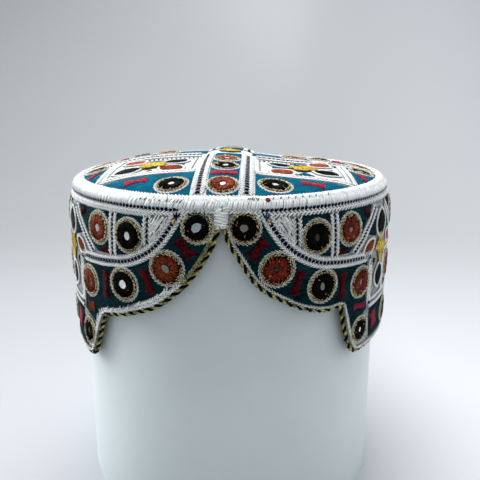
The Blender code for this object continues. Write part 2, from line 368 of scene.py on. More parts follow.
def fillPatch(bm, place, outline, lift=0.0, puff=0.4, rim=0.45, slot=0):
    # a field of close stitching: one flat face, its rim sloped down, cut into strips and laid on the cloth
    grid = 4.0
    flat = bmesh.new()
    face = flat.faces.new([flat.verts.new((x, y, 0.0)) for x, y in outline])
    face.normal_update()
    if face.normal.z < 0:
        face.normal_flip()
    bmesh.ops.inset_region(flat, faces=[face], thickness=rim, depth=puff, use_even_offset=True, use_boundary=True)
    for axis in (Vector((1, 0, 0)), Vector((0, 1, 0))):
        reach = [v.co.dot(axis) for v in flat.verts]
        cut = math.ceil(min(reach) / grid) * grid
        while cut < max(reach):
            bmesh.ops.bisect_plane(flat, geom=flat.verts[:] + flat.edges[:] + flat.faces[:], dist=0.0001,
                                   plane_co=axis * cut, plane_no=axis)
            cut += grid
    uv = flat.loops.layers.uv.new("thread")
    for part in flat.faces:
        part.smooth = True
        part.material_index = slot
        for loop in part.loops:
            loop[uv].uv = loop.vert.co.xy
    x, y = outline[0]
    over = place(x, y, 1.0) - place(x, y, 0.0)
    for v in flat.verts:
        v.co = place(v.co.x, v.co.y, lift + v.co.z)
    bmesh.ops.triangulate(flat, faces=[f for f in flat.faces if len(f.verts) > 4])
    flat.normal_update()
    biggest = max(flat.faces, key=lambda f: f.calc_area())
    middle = biggest.calc_center_median()
    outwards = Vector((middle.x, middle.y, 0.0)) if abs(over.z) < 0.0002 else Vector((0.0, 0.0, 1.0))
    if biggest.normal.dot(outwards) < 0:
        bmesh.ops.reverse_faces(flat, faces=flat.faces[:])
    addTo(bm, flat)


def addTo(bm, other):
    mesh = bpy.data.meshes.new("added")
    other.to_mesh(mesh)
    other.free()
    bm.from_mesh(mesh)
    bpy.data.meshes.remove(mesh)


def turnedShell(profile, steps, closed=False):
    # a profile of radius and height in mm, spun round the cap's axis
    bm = bmesh.new()
    corners = [bm.verts.new((r * mm, 0.0, h * mm)) for r, h in profile]
    edges = [bm.edges.new(pair) for pair in zip(corners, corners[1:] + (corners[:1] if closed else []))]
    bmesh.ops.spin(bm, geom=corners + edges, cent=(0, 0, 0), axis=(0, 0, 1), angle=math.tau, steps=steps,
                   use_merge=True)
    bmesh.ops.remove_doubles(bm, verts=bm.verts, dist=0.00001)
    return bm


def addObject(name, data):
    made = bpy.data.objects.new(name, data)
    bpy.context.scene.collection.objects.link(made)
    return made


def meshObject(name, bm, materials):
    mesh = bpy.data.meshes.new(name)
    bm.to_mesh(mesh)
    bm.free()
    for material in materials:
        mesh.materials.append(material)
    return addObject(name, mesh)


def newPiece(name, bm, materials, replaced=()):
    piece = meshObject(name, bm, materials)
    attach(piece, "root")
    if replaced:
        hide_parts(*replaced)
    return piece


def thicken(piece, thickness):
    # the wall of a cloth sheet, inwards, with plain cotton inside and on its rim
    wall = piece.modifiers.new("cloth", "SOLIDIFY")
    wall.thickness = thickness * mm
    wall.offset = -1.0
    wall.use_even_offset = True
    wall.material_offset = 1
    wall.material_offset_rim = 1


def addNode(tree, kind, inputs=(), **settings):
    # a node with its settings first, then its inputs: each a value, or a socket to link from
    node = tree.nodes.new("ShaderNode" + kind)
    for name, value in settings.items():
        setattr(node, name, value)
    for name, value in dict(inputs).items():
        if isinstance(value, bpy.types.NodeSocket):
            tree.links.new(value, node.inputs[name])
        else:
            node.inputs[name].default_value = value
    return node


def reckon(tree, operation, *values, kind="Math"):
    return addNode(tree, kind, enumerate(values), operation=operation).outputs[0]


def stretch(tree, value, low, high, smooth=False):
    # low to high becomes 0 to 1
    return addNode(tree, "MapRange", {"Value": value, "From Min": low, "From Max": high},
                   interpolation_type="SMOOTHSTEP" if smooth else "LINEAR").outputs[0]


def mixed(tree, factor, first, second, blend="MIX"):
    return addNode(tree, "Mix", {"Factor": factor, "A": first, "B": second},
                   data_type="RGBA", blend_type=blend).outputs["Result"]


def grain(tree, scale, detail):
    # a soft noise that stays with the piece
    place = addNode(tree, "TexCoord").outputs["Object"]
    return addNode(tree, "TexNoise", {"Vector": place, "Scale": scale, "Detail": detail}).outputs["Fac"]


def rampBetween(tree, factor, *stops):
    ramp = addNode(tree, "ValToRGB", {0: factor})
    elements = ramp.color_ramp.elements
    for stop in elements[1:]:
        elements.remove(stop)
    for i, (place, colour) in enumerate(stops):
        stop = elements[0] if i == 0 else elements.new(place)
        stop.position = place
        stop.color = (*colour, 1.0)
    return ramp.outputs["Color"]


def addBump(tree, shader, height, strength, distance):
    bump = addNode(tree, "Bump", {"Height": height, "Strength": strength, "Distance": distance})
    tree.links.new(bump.outputs[0], shader.inputs["Normal"])


def newGroup(name, inputs, outputs):
    # a shader group with named sockets; an input without a starting value is a vector
    group = bpy.data.node_groups.new(name, "ShaderNodeTree")
    for socketName, value in inputs.items():
        kind = "NodeSocketVector" if value is None else "NodeSocketFloat"
        socket = group.interface.new_socket(socketName, in_out="INPUT", socket_type=kind)
        if value is not None:
            socket.default_value = value
    for socketName in outputs:
        group.interface.new_socket(socketName, in_out="OUTPUT", socket_type="NodeSocketFloat")
    return group, group.nodes.new("NodeGroupInput").outputs, group.nodes.new("NodeGroupOutput").inputs


def makeRowsGroup():
    # close rows of stitches, laid like bricks: a height, a mask of the gaps between stitches where painted shade goes,
    # and a shade for each stitch
    group, inside, outside = newGroup("stitchRows", {"Vector": None, "Length": 3.4, "Row": 0.62, "Wobble": 0.18},
                                      ("Height", "Gap", "Shade"))
    noise = addNode(group, "TexNoise", {"Vector": inside["Vector"], "Scale": 0.35, "Detail": 2.0})
    centred = reckon(group, "SUBTRACT", noise.outputs["Color"], (0.5, 0.5, 0.5), kind="VectorMath")
    scaled = addNode(group, "VectorMath", {0: centred, "Scale": inside["Wobble"]}, operation="SCALE").outputs[0]
    moved = reckon(group, "MULTIPLY_ADD", scaled, (4.0, 4.0, 0.0), inside["Vector"], kind="VectorMath")
    brick = addNode(group, "TexBrick", {
        "Vector": moved,
        "Color1": (0.0, 0.0, 0.0, 1.0),
        "Color2": (1.0, 1.0, 1.0, 1.0),
        "Mortar": (0.5, 0.5, 0.5, 1.0),
        "Scale": 1.0,
        "Mortar Size": 0.09,
        "Mortar Smooth": 1.0,
        "Brick Width": inside["Length"],
        "Row Height": inside["Row"],
    }, offset=0.43)
    rows = reckon(group, "DIVIDE", addNode(group, "SeparateXYZ", {0: moved}).outputs["Y"], inside["Row"])
    across = reckon(group, "PINGPONG", rows, 0.5)
    sunk = reckon(group, "MULTIPLY_ADD", brick.outputs["Fac"], -0.6, 0.6)
    group.links.new(reckon(group, "MULTIPLY_ADD", across, 0.8, sunk), outside["Height"])
    group.links.new(brick.outputs["Fac"], outside["Gap"])
    group.links.new(brick.outputs["Color"], outside["Shade"])
    return group


def makePlyGroup():
    # one thread: slanted plies, a shade that changes slowly, and a mask for painted shade: 1 on its top down to 0 where
    # it meets the cloth
    group, inside, outside = newGroup("threadPly", {"Thread": None, "Place": None, "Plies": 3.0, "Twist": 5.0,
                                                    "Patch Scale": 420.0}, ("Height", "Shade", "Top"))
    split = addNode(group, "SeparateXYZ", {0: inside["Thread"]}).outputs
    around = reckon(group, "MULTIPLY", split["X"], inside["Plies"])
    along = reckon(group, "MULTIPLY_ADD", split["Y"], inside["Twist"], around)
    noise = addNode(group, "TexNoise", {"Vector": inside["Place"], "Scale": inside["Patch Scale"],
                                        "Detail": 2.0, "Roughness": 0.7})
    group.links.new(reckon(group, "PINGPONG", along, 0.5), outside["Height"])
    group.links.new(stretch(group, noise.outputs["Fac"], 0.37, 0.63), outside["Shade"])
    group.links.new(stretch(group, split["X"], 0.42, 0.95, smooth=True), outside["Top"])
    return group


rowsGroup = makeRowsGroup()
plyGroup = makePlyGroup()


def newMaterial(name, settings):
    material = bpy.data.materials.new(name)
    material.use_nodes = True
    shader = material.node_tree.nodes["Principled BSDF"]
    for socketName, value in settings.items():
        shader.inputs[socketName].default_value = value
    return material, material.node_tree, shader


def stitchedField(name, dark, light, gap, length=3.4, row=0.62, patchScale=90.0):
    # cloth covered in rows of thread, read from the piece's own flat map in mm, with painted shade in the gaps between
    # the stitches
    material, tree, shader = newMaterial(name, {"Roughness": 0.8, "Specular IOR Level": 0.03})
    rows = addNode(tree, "Group", node_tree=rowsGroup)
    for socketName, value in (("Length", length), ("Row", row), ("Wobble", 0.18)):
        rows.inputs[socketName].default_value = value
    tree.links.new(addNode(tree, "UVMap", uv_map="thread").outputs[0], rows.inputs["Vector"])
    blend = reckon(tree, "MULTIPLY_ADD", rows.outputs["Shade"], 0.55, grain(tree, patchScale, 3.0))
    # painted shade: the gap colour darkens the crevices between the stitches
    colour = mixed(tree, rows.outputs["Gap"], rampBetween(tree, blend, (0.35, dark), (1.1, light)), (*gap, 1.0))
    tree.links.new(colour, shader.inputs["Base Color"])
    addBump(tree, shader, rows.outputs["Height"], 0.8, 0.00035)
    return material


def threadMaterial(name, dark, light, sides, patchScale, finish):
    material, tree, shader = newMaterial(name, threadFinishes[finish])
    ply = addNode(tree, "Group", node_tree=plyGroup)
    for socketName, value in (("Plies", 3.0), ("Twist", 5.0), ("Patch Scale", patchScale)):
        ply.inputs[socketName].default_value = value
    tree.links.new(addNode(tree, "UVMap", uv_map="thread").outputs[0], ply.inputs["Thread"])
    tree.links.new(addNode(tree, "TexCoord").outputs["Object"], ply.inputs["Place"])
    colour = rampBetween(tree, ply.outputs["Shade"], (0.0, dark), (1.0, light))
    # painted shade: each stitch darkens down its sides to where it meets the cloth
    shadow = rampBetween(tree, ply.outputs["Top"], (0.0, (sides, sides, sides)), (1.0, (1.0, 1.0, 1.0)))
    tree.links.new(mixed(tree, 1.0, colour, shadow, "MULTIPLY"), shader.inputs["Base Color"])
    addBump(tree, shader, ply.outputs["Height"], 0.5, 0.0002)
    return material


threadFinishes = {
    "cotton": {"Roughness": 0.6, "Specular IOR Level": 0.12},
    "dark": {"Roughness": 0.6, "Specular IOR Level": 0.03},
    "silk": {"Roughness": 0.38, "Specular IOR Level": 0.12, "Metallic": 0.1},
    "gilt": {"Roughness": 0.38, "Specular IOR Level": 0.12, "Metallic": 0.3},
}
# linear colours dark and light, how dark the painted shade on a stitch's sides goes, how fast the shade changes along
# the threads, finish
threadLooks = {
    "whiteBraid": ((0.78, 0.80, 0.80), (0.97, 0.98, 0.98), 0.35, 420.0, "cotton"),
    "seamWhite": ((0.76, 0.78, 0.78), (0.90, 0.92, 0.92), 0.6, 420.0, "cotton"),
    "cream": ((0.42, 0.44, 0.34), (0.93, 0.95, 0.86), 0.35, 700.0, "cotton"),
    "navy": ((0.001, 0.001, 0.006), (0.009, 0.009, 0.035), 0.35, 420.0, "dark"),
    "inkBlue": ((0.003, 0.008, 0.045), (0.020, 0.050, 0.170), 0.35, 420.0, "cotton"),
    "black": ((0.0002, 0.0002, 0.0001), (0.006, 0.0055, 0.003), 0.3, 1100.0, "dark"),
    "teal": ((0.0003, 0.006, 0.012), (0.003, 0.075, 0.115), 0.35, 900.0, "cotton"),
    "rust": ((0.020, 0.002, 0.001), (0.42, 0.070, 0.022), 0.1, 1100.0, "cotton"),
    # lit and shaded copies of the rust thread: a brighter one as painted light on the crown, a darker, redder one as
    # painted shade on the band's right
    "litCrownRust": ((0.050, 0.004, 0.002), (0.55, 0.085, 0.022), 0.12, 1100.0, "cotton"),
    "shadedRightRust": ((0.016, 0.001, 0.001), (0.34, 0.036, 0.016), 0.1, 1100.0, "cotton"),
    "gold": ((0.22, 0.11, 0.02), (1.0, 0.90, 0.55), 0.35, 900.0, "gilt"),
    "greenGold": ((0.05, 0.05, 0.010), (0.58, 0.57, 0.20), 0.35, 420.0, "gilt"),
    "yellow": ((0.20, 0.07, 0.003), (0.95, 0.74, 0.09), 0.2, 1000.0, "silk"),
    "crimsonCrown": ((0.15, 0.002, 0.012), (0.60, 0.014, 0.055), 0.35, 650.0, "cotton"),
    "crimsonBand": ((0.08, 0.003, 0.014), (0.36, 0.012, 0.055), 0.35, 700.0, "cotton"),
    "maroonBand": ((0.010, 0.001, 0.002), (0.13, 0.007, 0.012), 0.35, 700.0, "dark"),
    "silver": ((0.62, 0.65, 0.60), (0.95, 0.97, 0.93), 0.35, 420.0, "cotton"),
}
threads = {name: threadMaterial(name + "Thread", *look) for name, look in threadLooks.items()}

fields = {
    # the band's white cloth, its tone darkened to grey as painted shade of the crevices between its braids
    "shadedBandWhite": stitchedField("shadedBandWhiteField", (0.20, 0.21, 0.21), (0.50, 0.53, 0.52), (0.03, 0.033, 0.033)),
    "crownWhite": stitchedField("crownWhiteField", (0.78, 0.81, 0.83), (0.94, 0.96, 0.97), (0.42, 0.45, 0.48)),
    "bandTeal": stitchedField("bandTealField", (0.0002, 0.002, 0.003), (0.002, 0.038, 0.049),
                              (0.0002, 0.0015, 0.0015), patchScale=160.0),
    "crownTeal": stitchedField("crownTealField", (0.001, 0.060, 0.105), (0.002, 0.16, 0.27), (0.001, 0.02, 0.035)),
    "inside": stitchedField("insideCotton", (0.42, 0.40, 0.35), (0.60, 0.58, 0.52), (0.25, 0.24, 0.21),
                            length=1.2, row=0.5),
}


def makeGlass(name, colour, roughness, metallic):
    material, tree, shader = newMaterial(name, {"Roughness": roughness, "Metallic": metallic})
    cloud = grain(tree, 260.0, 3.0)
    dull = tuple(c * 0.72 for c in colour)
    tree.links.new(rampBetween(tree, cloud, (0.3, dull), (0.62, colour)), shader.inputs["Base Color"])
    addBump(tree, shader, cloud, 0.25, 0.0002)
    return material


# the colour of each glass is a painted reflection of what it faces: bright, sky and milky glass of a light room, dull
# and dim glass of a dark one
glassReflectionLooks = {   # linear colour, roughness, metallic
    "bright": ((0.98, 0.98, 0.98), 0.12, 1.0),
    "sky": ((0.42, 0.52, 0.56), 0.15, 0.95),
    "dull": ((0.22, 0.20, 0.165), 0.35, 0.8),
    "dim": ((0.035, 0.036, 0.028), 0.45, 0.6),
    "milky": ((0.92, 0.93, 0.90), 0.25, 0.3),
}
glasses = {name: makeGlass(name + "MirrorGlass", *look) for name, look in glassReflectionLooks.items()}
print("materials ready")

mirrorForm = {
    "threadOuter": 0.73,    # shares of the whole ring's radius
    "goldMiddle": 0.80,
    "whiteMiddle": 0.925,
    "threadPitch": 0.74,    # mm from one stitch to the next
    "goldPitch": 0.85,
    "glassLift": 1.05,
    "tip": 0.07,            # how far a glass tips at most, as a slope
    "strayGold": 0.07,      # share of places with a stray gold thread
    "missingGold": 0.08,    # share of the gold chain's stitches that are worn away
}
mirrorSlot = {"thread": 0, "gold": 1, "white": 2, "black": 3, "glass": 4, "teal": 9}   # material slots of one piece


def mirrorWork(bm, place, x, y, radius, eye, seed, teal=False, shift=0.0):
    # eye: glass, width, height, turn; shift: how far glass and coloured thread sit off the middle of the ring
    rng = random.Random(seed)
    glassName, eyeWide, eyeTall, eyeTurn = eye
    outer = radius * mirrorForm["threadOuter"]
    fillPatch(bm, place, ringPath(x, y, radius * 0.985, 24)[:-1], lift=-0.05, puff=0.5, rim=0.7,
              slot=mirrorSlot["black"])
    # the glass, an uneven piece tipped a little
    glass = bmesh.new()
    bmesh.ops.create_circle(glass, cap_ends=True, segments=7, radius=1.0)
    tipX = rng.uniform(-mirrorForm["tip"], mirrorForm["tip"])
    tipY = rng.uniform(-mirrorForm["tip"], mirrorForm["tip"])
    c, s = math.cos(eyeTurn), math.sin(eyeTurn)
    for v in glass.verts:
        reach = rng.uniform(0.88, 1.16)
        u, w = v.co.x * reach * eyeWide / 2, v.co.y * reach * eyeTall / 2
        px, py = u * c - w * s, u * s + w * c
        v.co = place(x + shift + px, y + py, mirrorForm["glassLift"] + px * tipX + py * tipY)
    face = glass.faces[:][0]
    face.material_index = mirrorSlot["glass"] + list(glasses).index(glassName)
    face.normal_update()
    if face.normal.dot(place(x, y, 2.0) - place(x, y, 0.0)) < 0:
        face.normal_flip()
    addTo(bm, glass)
    # the coloured thread that holds it, worked outwards all round
    count = round(math.tau * outer * 0.72 / mirrorForm["threadPitch"])
    for k in range(count):
        a = (k + rng.uniform(-0.2, 0.2)) * math.tau / count
        ca, sa = math.cos(a), math.sin(a)
        u, w = ca * c + sa * s, -ca * s + sa * c
        inner = max(0.4, 0.92 / math.hypot(u / (eyeWide / 2), w / (eyeTall / 2)))
        reach = (outer - inner) * rng.uniform(0.98, 1.08)
        middle = (inner + outer) / 2 + rng.uniform(-0.1, 0.1)
        layThread(bm, stitch(5, 4, mirrorSlot["thread"]), place, x + shift + middle * ca, y + middle * sa,
                  0.8 + rng.uniform(-0.15, 0.2), a + 0.3 + rng.uniform(-0.2, 0.2), reach,
                  mirrorForm["threadPitch"] * rng.uniform(0.8, 1.3), 1.25)
        if rng.random() < mirrorForm["strayGold"]:
            stray = rng.uniform(0.6, 0.95) * outer
            layThread(bm, stitch(5, 3, mirrorSlot["gold"]), place, x + shift + stray * ca, y + stray * sa, 1.25,
                      a + rng.uniform(-0.3, 0.7), rng.uniform(0.9, 1.5), 0.24, 0.5)
        if teal and 3.9 < a < 5.5:   # this one has teal thread at its top
            edge = radius * rng.uniform(0.72, 0.9)
            layThread(bm, stitch(5, 4, mirrorSlot["teal"]), place, x + edge * ca, y + edge * sa, 1.1,
                      a + rng.uniform(-0.7, 0.7), 3.0, 0.6, 0.9)
    # the gold chain on black, its stitches leaning in and out by turns
    goldRadius = radius * mirrorForm["goldMiddle"]
    count = round(math.tau * goldRadius / mirrorForm["goldPitch"])
    for k in range(count):
        if rng.random() < mirrorForm["missingGold"]:
            continue
        hand = 1 if k % 2 else -1
        a = (k + rng.uniform(-0.2, 0.2)) * math.tau / count
        ring = goldRadius + 0.34 * hand + rng.uniform(-0.12, 0.12)
        layThread(bm, stitch(5, 3, mirrorSlot["gold"]), place, x + 0.5 * shift + ring * math.cos(a),
                  y + ring * math.sin(a), 1.0 + rng.uniform(-0.1, 0.15),
                  a + math.pi / 2 + 0.42 * hand + rng.uniform(-0.22, 0.22), 1.7 * rng.uniform(0.75, 1.25), 0.46, 0.85)
    braid(bm, place, ringPath(x, y, radius * mirrorForm["whiteMiddle"]), width=1.35, pitch=1.7, lift=0.5,
          slot=mirrorSlot["white"], height=1.0, loose=0.12, slant=0.3, reach=1.2, thick=0.4)


bandMirrors = (   # name, thread, azimuth, drop, ring radius
    ("arch_top", "black", 6.5, 5.9, 7.6),
    ("arch_side", "rust", 15.5, 25.2, 8.8),
    ("arch_low", "black", 30.2, 36.2, 8.8),
    ("lobe_top", "rust", 46.8, 40.0, 8.6),
    ("lobe_tip", "black", 48.0, 66.2, 7.6),
    ("panel_front", "black", 27.8, 12.2, 8.7),
    ("panel_back", "rust", 40.6, 11.3, 8.5),
    ("side_top", "rust", 76.4, 11.3, 8.5),
    ("side_middle", "rust", 70.2, 40.0, 8.6),
    ("side_low", "black", 69.8, 66.2, 7.6),
)
leftTipLower = 1.2   # mm that the left lobe's last mirror hangs lower
# the glass as it shows in the photo: glass, width, height, turn
# the kind of glass picks its painted reflection
eyes = {
    "arch_top_right": ("dull", 3.9, 3.3, 0.2), "arch_top_left": ("sky", 4.9, 4.0, 0.5),
    "arch_side_right": ("dim", 2.2, 1.8, 0.0), "arch_side_left": ("dull", 3.4, 4.4, 0.7),
    "arch_low_right": ("dull", 2.3, 3.9, 0.1), "arch_low_left": ("bright", 4.0, 4.4, 0.4),
    "lobe_top_right": ("dull", 1.5, 4.6, 0.15), "lobe_top_left": ("dim", 1.2, 2.2, 0.0),
    "lobe_tip_right": ("bright", 1.4, 3.4, 0.15), "lobe_tip_left": ("dim", 1.6, 3.4, 0.0),
    "panel_front_right": ("dim", 2.2, 3.6, 0.0), "panel_front_left": ("bright", 3.2, 4.0, 0.3),
    "panel_back_right": ("dull", 2.6, 2.3, 0.0), "panel_back_left": ("bright", 3.3, 3.9, 0.2),
}
plainEye = ("sky", 3.0, 3.6, 0.0)
crownEye = ("milky", 3.0, 3.2, 0.3)
eyeShift = {"right": -0.5, "left": 0.3}
backMirrors = (   # only in the scene, on both sides: thread, azimuth, drop, ring radius
    ("black", 90.0, 11.8, 8.6), ("rust", 103.6, 11.3, 8.5), ("rust", 139.5, 11.3, 8.5), ("black", 153.0, 11.8, 8.6),
    ("rust", 166.5, 11.3, 8.5), ("black", 90.0, 40.0, 8.6), ("rust", 109.8, 40.0, 8.6), ("rust", 133.4, 40.0, 8.6),
    ("black", 149.0, 40.0, 8.6), ("rust", 164.5, 40.0, 8.6), ("rust", 91.9, 66.0, 7.4), ("black", 113.9, 66.0, 7.4),
    ("rust", 135.9, 66.0, 7.4), ("black", 158.0, 66.0, 7.4),
)
middleMirrors = (("black", 180.0, 11.8, 8.6), ("black", 180.0, 40.0, 8.6), ("rust", 180.0, 66.0, 7.4))   # at the back
armMirrors = (   # name, thread, across, far, ring radius
    ("inner", "rust", 0.0, 36.5, 7.2),
    ("middle", "black", 0.0, 52.3, 7.2),
    ("outer", "rust", 0.0, 75.5, 7.9),
    ("beside_left", "black", -24.0, 71.3, 8.2),
    ("beside_right", "black", 24.0, 70.0, 8.4),
)
sideArmPair = (20.5, 73.0, 7.0)   # the pair beside the left and right arms: across, far, ring radius
# the band's right takes a darker, redder copy of the rust thread as painted shade, and the crown a brighter copy as
# painted light
rustThreads = {"right": "shadedRightRust", "left": "rust", "crown": "litCrownRust"}


def mirrorPiece(name, bm, thread, side, replaced=()):
    ring = rustThreads[side] if thread == "rust" else thread
    white = "whiteBraid" if side == "crown" else "cream"
    materials = [threads[ring], threads["gold"], threads[white], threads["black"], *glasses.values(), threads["teal"]]
    newPiece(name, bm, materials, replaced)


def makeMirrors():
    seed = 0
    for name, thread, azimuth, drop, radius in bandMirrors:
        for side, place in walls.items():
            seed += 1
            bm = bmesh.new()
            lower = leftTipLower if (name, side) == ("lobe_tip", "left") else 0.0
            mirrorWork(bm, place, azimuth * perDegree, drop + lower, radius, eyes.get(f"{name}_{side}", plainEye), seed,
                       teal=(name, side) == ("arch_top", "left"), shift=eyeShift[side])
            mirrorPiece(f"mirrorWork_{name}_{side}", bm, thread, side, (f"mirror_{name}_{side}",))
    for arm, place in crownArms.items():
        for name, thread, across, far, radius in armMirrors:
            if across and arm in ("left", "right"):
                across, far, radius = math.copysign(sideArmPair[0], across), *sideArmPair[1:]
            seed += 1
            bm = bmesh.new()
            mirrorWork(bm, place, across, far, radius, crownEye, seed)
            mirrorPiece(f"mirrorWork_crown_{arm}_{name}", bm, thread, "crown", (f"mirror_crown_{arm}_{name}",))
    for side, place in walls.items():
        for thread in ("black", "rust"):
            bm = bmesh.new()
            for kind, azimuth, drop, radius in backMirrors + (middleMirrors if side == "right" else ()):
                if kind == thread:
                    seed += 1
                    mirrorWork(bm, place, azimuth * perDegree, drop, radius, plainEye, seed)
            mirrorPiece(f"backMirrorWork_{thread}_{side}", bm, thread, side)


makeMirrors()
print("mirror work ready")


def makeBandCloth():
    # the sheet between the top edge and the arched lower edge, thickened inwards
    inset = capForm["cordRadius"] + 0.3
    right = edgeInset("right", inset, -5.0)
    left = edgeInset("left", inset, -5.0)
    bottom = [(p.x / perDegree, p.y) for p in right[:-1]] + [(-p.x / perDegree, p.y) for p in left[:0:-1]]
    columns, rows = len(bottom), 22
    top = -capForm["bandTop"]
    bm = bmesh.new()
    uv = bm.loops.layers.uv.new("thread")
    bmesh.ops.create_grid(bm, x_segments=columns, y_segments=rows, size=1.0)
    for face in bm.faces:
        face.smooth = True
        for loop in face.loops:
            column = round((loop.vert.co.x + 1.0) / 2.0 * columns)
            share = (loop.vert.co.y + 1.0) / 2.0
            azimuth, drop = bottom[column % columns]
            if column == columns:
                azimuth = 0.0
            elif column > columns / 2:   # the left half, up to the middle of the back
                azimuth = -abs(azimuth)
            loop[uv].uv = (azimuth * perDegree, drop + (top - drop) * share)
    for vert in bm.verts:
        column = round((vert.co.x + 1.0) / 2.0 * columns) % columns
        share = (vert.co.y + 1.0) / 2.0
        azimuth, drop = bottom[column]
        vert.co = bandPoint(azimuth, drop + (top - drop) * share)
    bmesh.ops.remove_doubles(bm, verts=bm.verts, dist=0.00001)
    bmesh.ops.recalc_face_normals(bm, faces=bm.faces)
    outer = max(bm.faces, key=lambda f: f.calc_center_median().y)
    if outer.normal.y < 0:
        bmesh.ops.reverse_faces(bm, faces=bm.faces)
    cloth = newPiece("bandCloth", bm, [fields["shadedBandWhite"], fields["inside"]], ("side_band",))
    thicken(cloth, capForm["bandCloth"])


arcLine = (   # azimuth and drop of the navy line from the top of the arch round to the first star
    (12.8, 1.7), (13.9, 5.2), (15.4, 8.8), (17.1, 12.5), (19.0, 15.7), (21.25, 18.6), (23.5, 20.8), (26.9, 23.4),
    (30.6, 25.1), (34.4, 25.9), (38.1, 26.7), (41.9, 27.1), (45.6, 27.5), (49.4, 27.7), (51.4, 27.9),
)
bandWork = {
    "starMiddles": (58.5, 121.5),                 # azimuths of the star panels
    "starShift": {"right": 1.3, "left": 2.4},     # degrees that a side's first star sits further round
    "cellTop": {"right": 2.0, "left": 2.6},       # where the front's teal cells start under the ring line
    "cellLow": 24.6,                              # and where the others start and end
    "cellHigh": 3.2,
    "braidWidth": 1.7,
    "braidOff": 1.85,                             # from a line to the middle of the white braid beside it
    "dashWidth": 1.75,
    "dashHeight": 1.0,
    "ringLineDrop": -1.3,
    "levelDrop": 27.9,
    "lowLevelDrop": 54.3,
    "levelRuns": ((65.0, 115.0), (128.0, 180.0)),
    "ringLineStart": {"right": 11.0, "left": 12.5},
    "arcKnot": ((11.8, 0.9, 1.0), (12.5, 0.8, 1.6), (13.1, 1.1, 2.1), (12.4, 2.2, 1.5)),   # azimuth, drop, turn
    "arcKnotSlot": {"right": 2, "left": 0},       # ink blue on the right, navy on the left
    "stem": ((52.2, 28.4), (52.4, 34.0)),
    "stems": ((6.6, 30.0), (5.3, 33.0)),          # degrees from a star's middle, and where each begins
    "uprights": ((21.4, 15.2, 1.0), (34.2, 22.8, 1.35), (82.8, 25.4, 1.35), (97.2, 25.4, 1.35), (145.8, 25.4, 1.35),
                 (160.2, 25.4, 1.35), (172.8, 25.4, 1.35)),   # azimuth, lower end, width
    "slant": ((-4.5, 4.4), (-7.25, 8.8), (-10.25, 13.2), (-13.25, 18.4), (-15.9, 21.9), (-17.0, 23.9)),
    # the wedges between a star's petals, and how far their rims slope
    "wedges": ((((-4.6, 6.2), (-3.9, 9.0), (-4.3, 16.5), (-3.6, 19.6), (-9.2, 17.2), (-7.4, 12.2)), 0.3),
               (((3.2, 31.5), (5.0, 30.6), (5.3, 36.5)), 0.25)),
}


def box(low, high, top, bottom):
    return ((low, top), (high, top), (high, bottom), (low, bottom))


def slantCells():
    # the cells beside the stars at the sides and the back, one side slanting
    high, low = bandWork["cellHigh"], bandWork["cellLow"]
    after = ((6.1, high), (23.1, high), (23.1, low), (19.5, low), (17.6, 20.9), (15.1, 17.6), (11.9, 12.2), (9.1, 7.8))
    before = ((-23.1, high), (-6.1, high), (-9.1, 7.8), (-11.9, 12.2), (-15.1, 17.6), (-17.6, 20.9), (-19.5, low),
              (-23.1, low))
    first, second = bandWork["starMiddles"]
    return [[(middle + a, d) for a, d in cell]
            for middle, cell in ((first, after), (second, before), (second, after))]


def makeBandFields():
    # fields of teal stitching between the braids
    high, low = bandWork["cellHigh"], bandWork["cellLow"]
    afterFirst, beforeSecond, afterSecond = slantCells()
    for side, place in walls.items():
        bm = bmesh.new()
        top, far = bandWork["cellTop"][side], bandWork["starShift"][side]
        overArc = ((22.6, top), (33.0, top), (33.0, 22.4), (30.6, 21.9), (27.6, 20.6), (24.6, 18.2), (22.6, 16.0))
        beforeFirst = ((35.4, top), (52.4 + far, top), (49.4 + far, 7.8), (46.6 + far, 12.2), (43.4 + far, 17.6),
                       (40.9 + far, 20.9), (39.2 + far, 23.2), (35.4, 22.9))
        for cell in (overArc, beforeFirst, afterFirst, box(84.0, 96.0, high, low), beforeSecond, afterSecond,
                     box(147.0, 159.0, high, low), box(161.4, 171.6, high, low), box(174.0, 180.0, high, low)):
            fillPatch(bm, place, degrees(cell))
        first, second = bandWork["starMiddles"]
        for middle in (first + far, second):
            for hand in (1, -1):
                for wedge, rim in bandWork["wedges"]:
                    fillPatch(bm, place, degrees([(middle + hand * a, d) for a, d in wedge]), rim=rim)
        for start, end in ((65.9, 114.1), (128.9, 180.0)):   # between the two level lines
            fillPatch(bm, place, degrees(box(start, end, 31.4, 50.8)))
        # the lowest row follows the edge, so its points are where the cloth hangs
        lowest = edgeInset(side, 3.4, 54.0, 180.0)[::5]
        lowest = [p for p in lowest if p.x < 178.5 * perDegree] + [Vector((180.0 * perDegree, lowest[-1].y))]
        shoulder = hungPoints(side, flatPath(((54.0, 58.2), (180.0, 58.2)), 12.0))
        fillPatch(bm, plainWalls[side], shoulder + lowest[::-1])
        newPiece(f"tealFields_{side}", bm, [fields["bandTeal"]])
    for side, place in plainWalls.items():
        # the large field of each lobe follows the arc above and the edge below
        upper = hungPoints(side, beside(flatPath(arcLine, 3.0), 3.0))
        inner = 2.3 if side == "right" else lambda a: 2.6 + 2.2 * ease(9.0, 20.0, a) - 1.3 * ease(24.0, 31.0, a)
        lower = [p for p in edgeInset(side, inner, 2.0, 47.0) if 12.0 < p.y < 67.0]
        corner = [Vector(p) for p in degrees(((50.6, 31.4), (50.8, 40.0), (51.0, 50.0), (52.0, 57.0)))]
        bm = bmesh.new()
        fillPatch(bm, place, upper + hungPoints(side, corner) + lower[::3][::-1])
        newPiece(f"tealLobe_{side}", bm, [fields["bandTeal"]])


def bordered(white, navy, place, line, width, off, braidWidth, height=0.8, lift=0.45):
    # a navy line with a white braid on each side of it
    dashes(navy, place, line, width=width, lift=lift, height=height)
    for offset in (-off, off):
        braid(white, place, beside(line, offset), width=braidWidth)


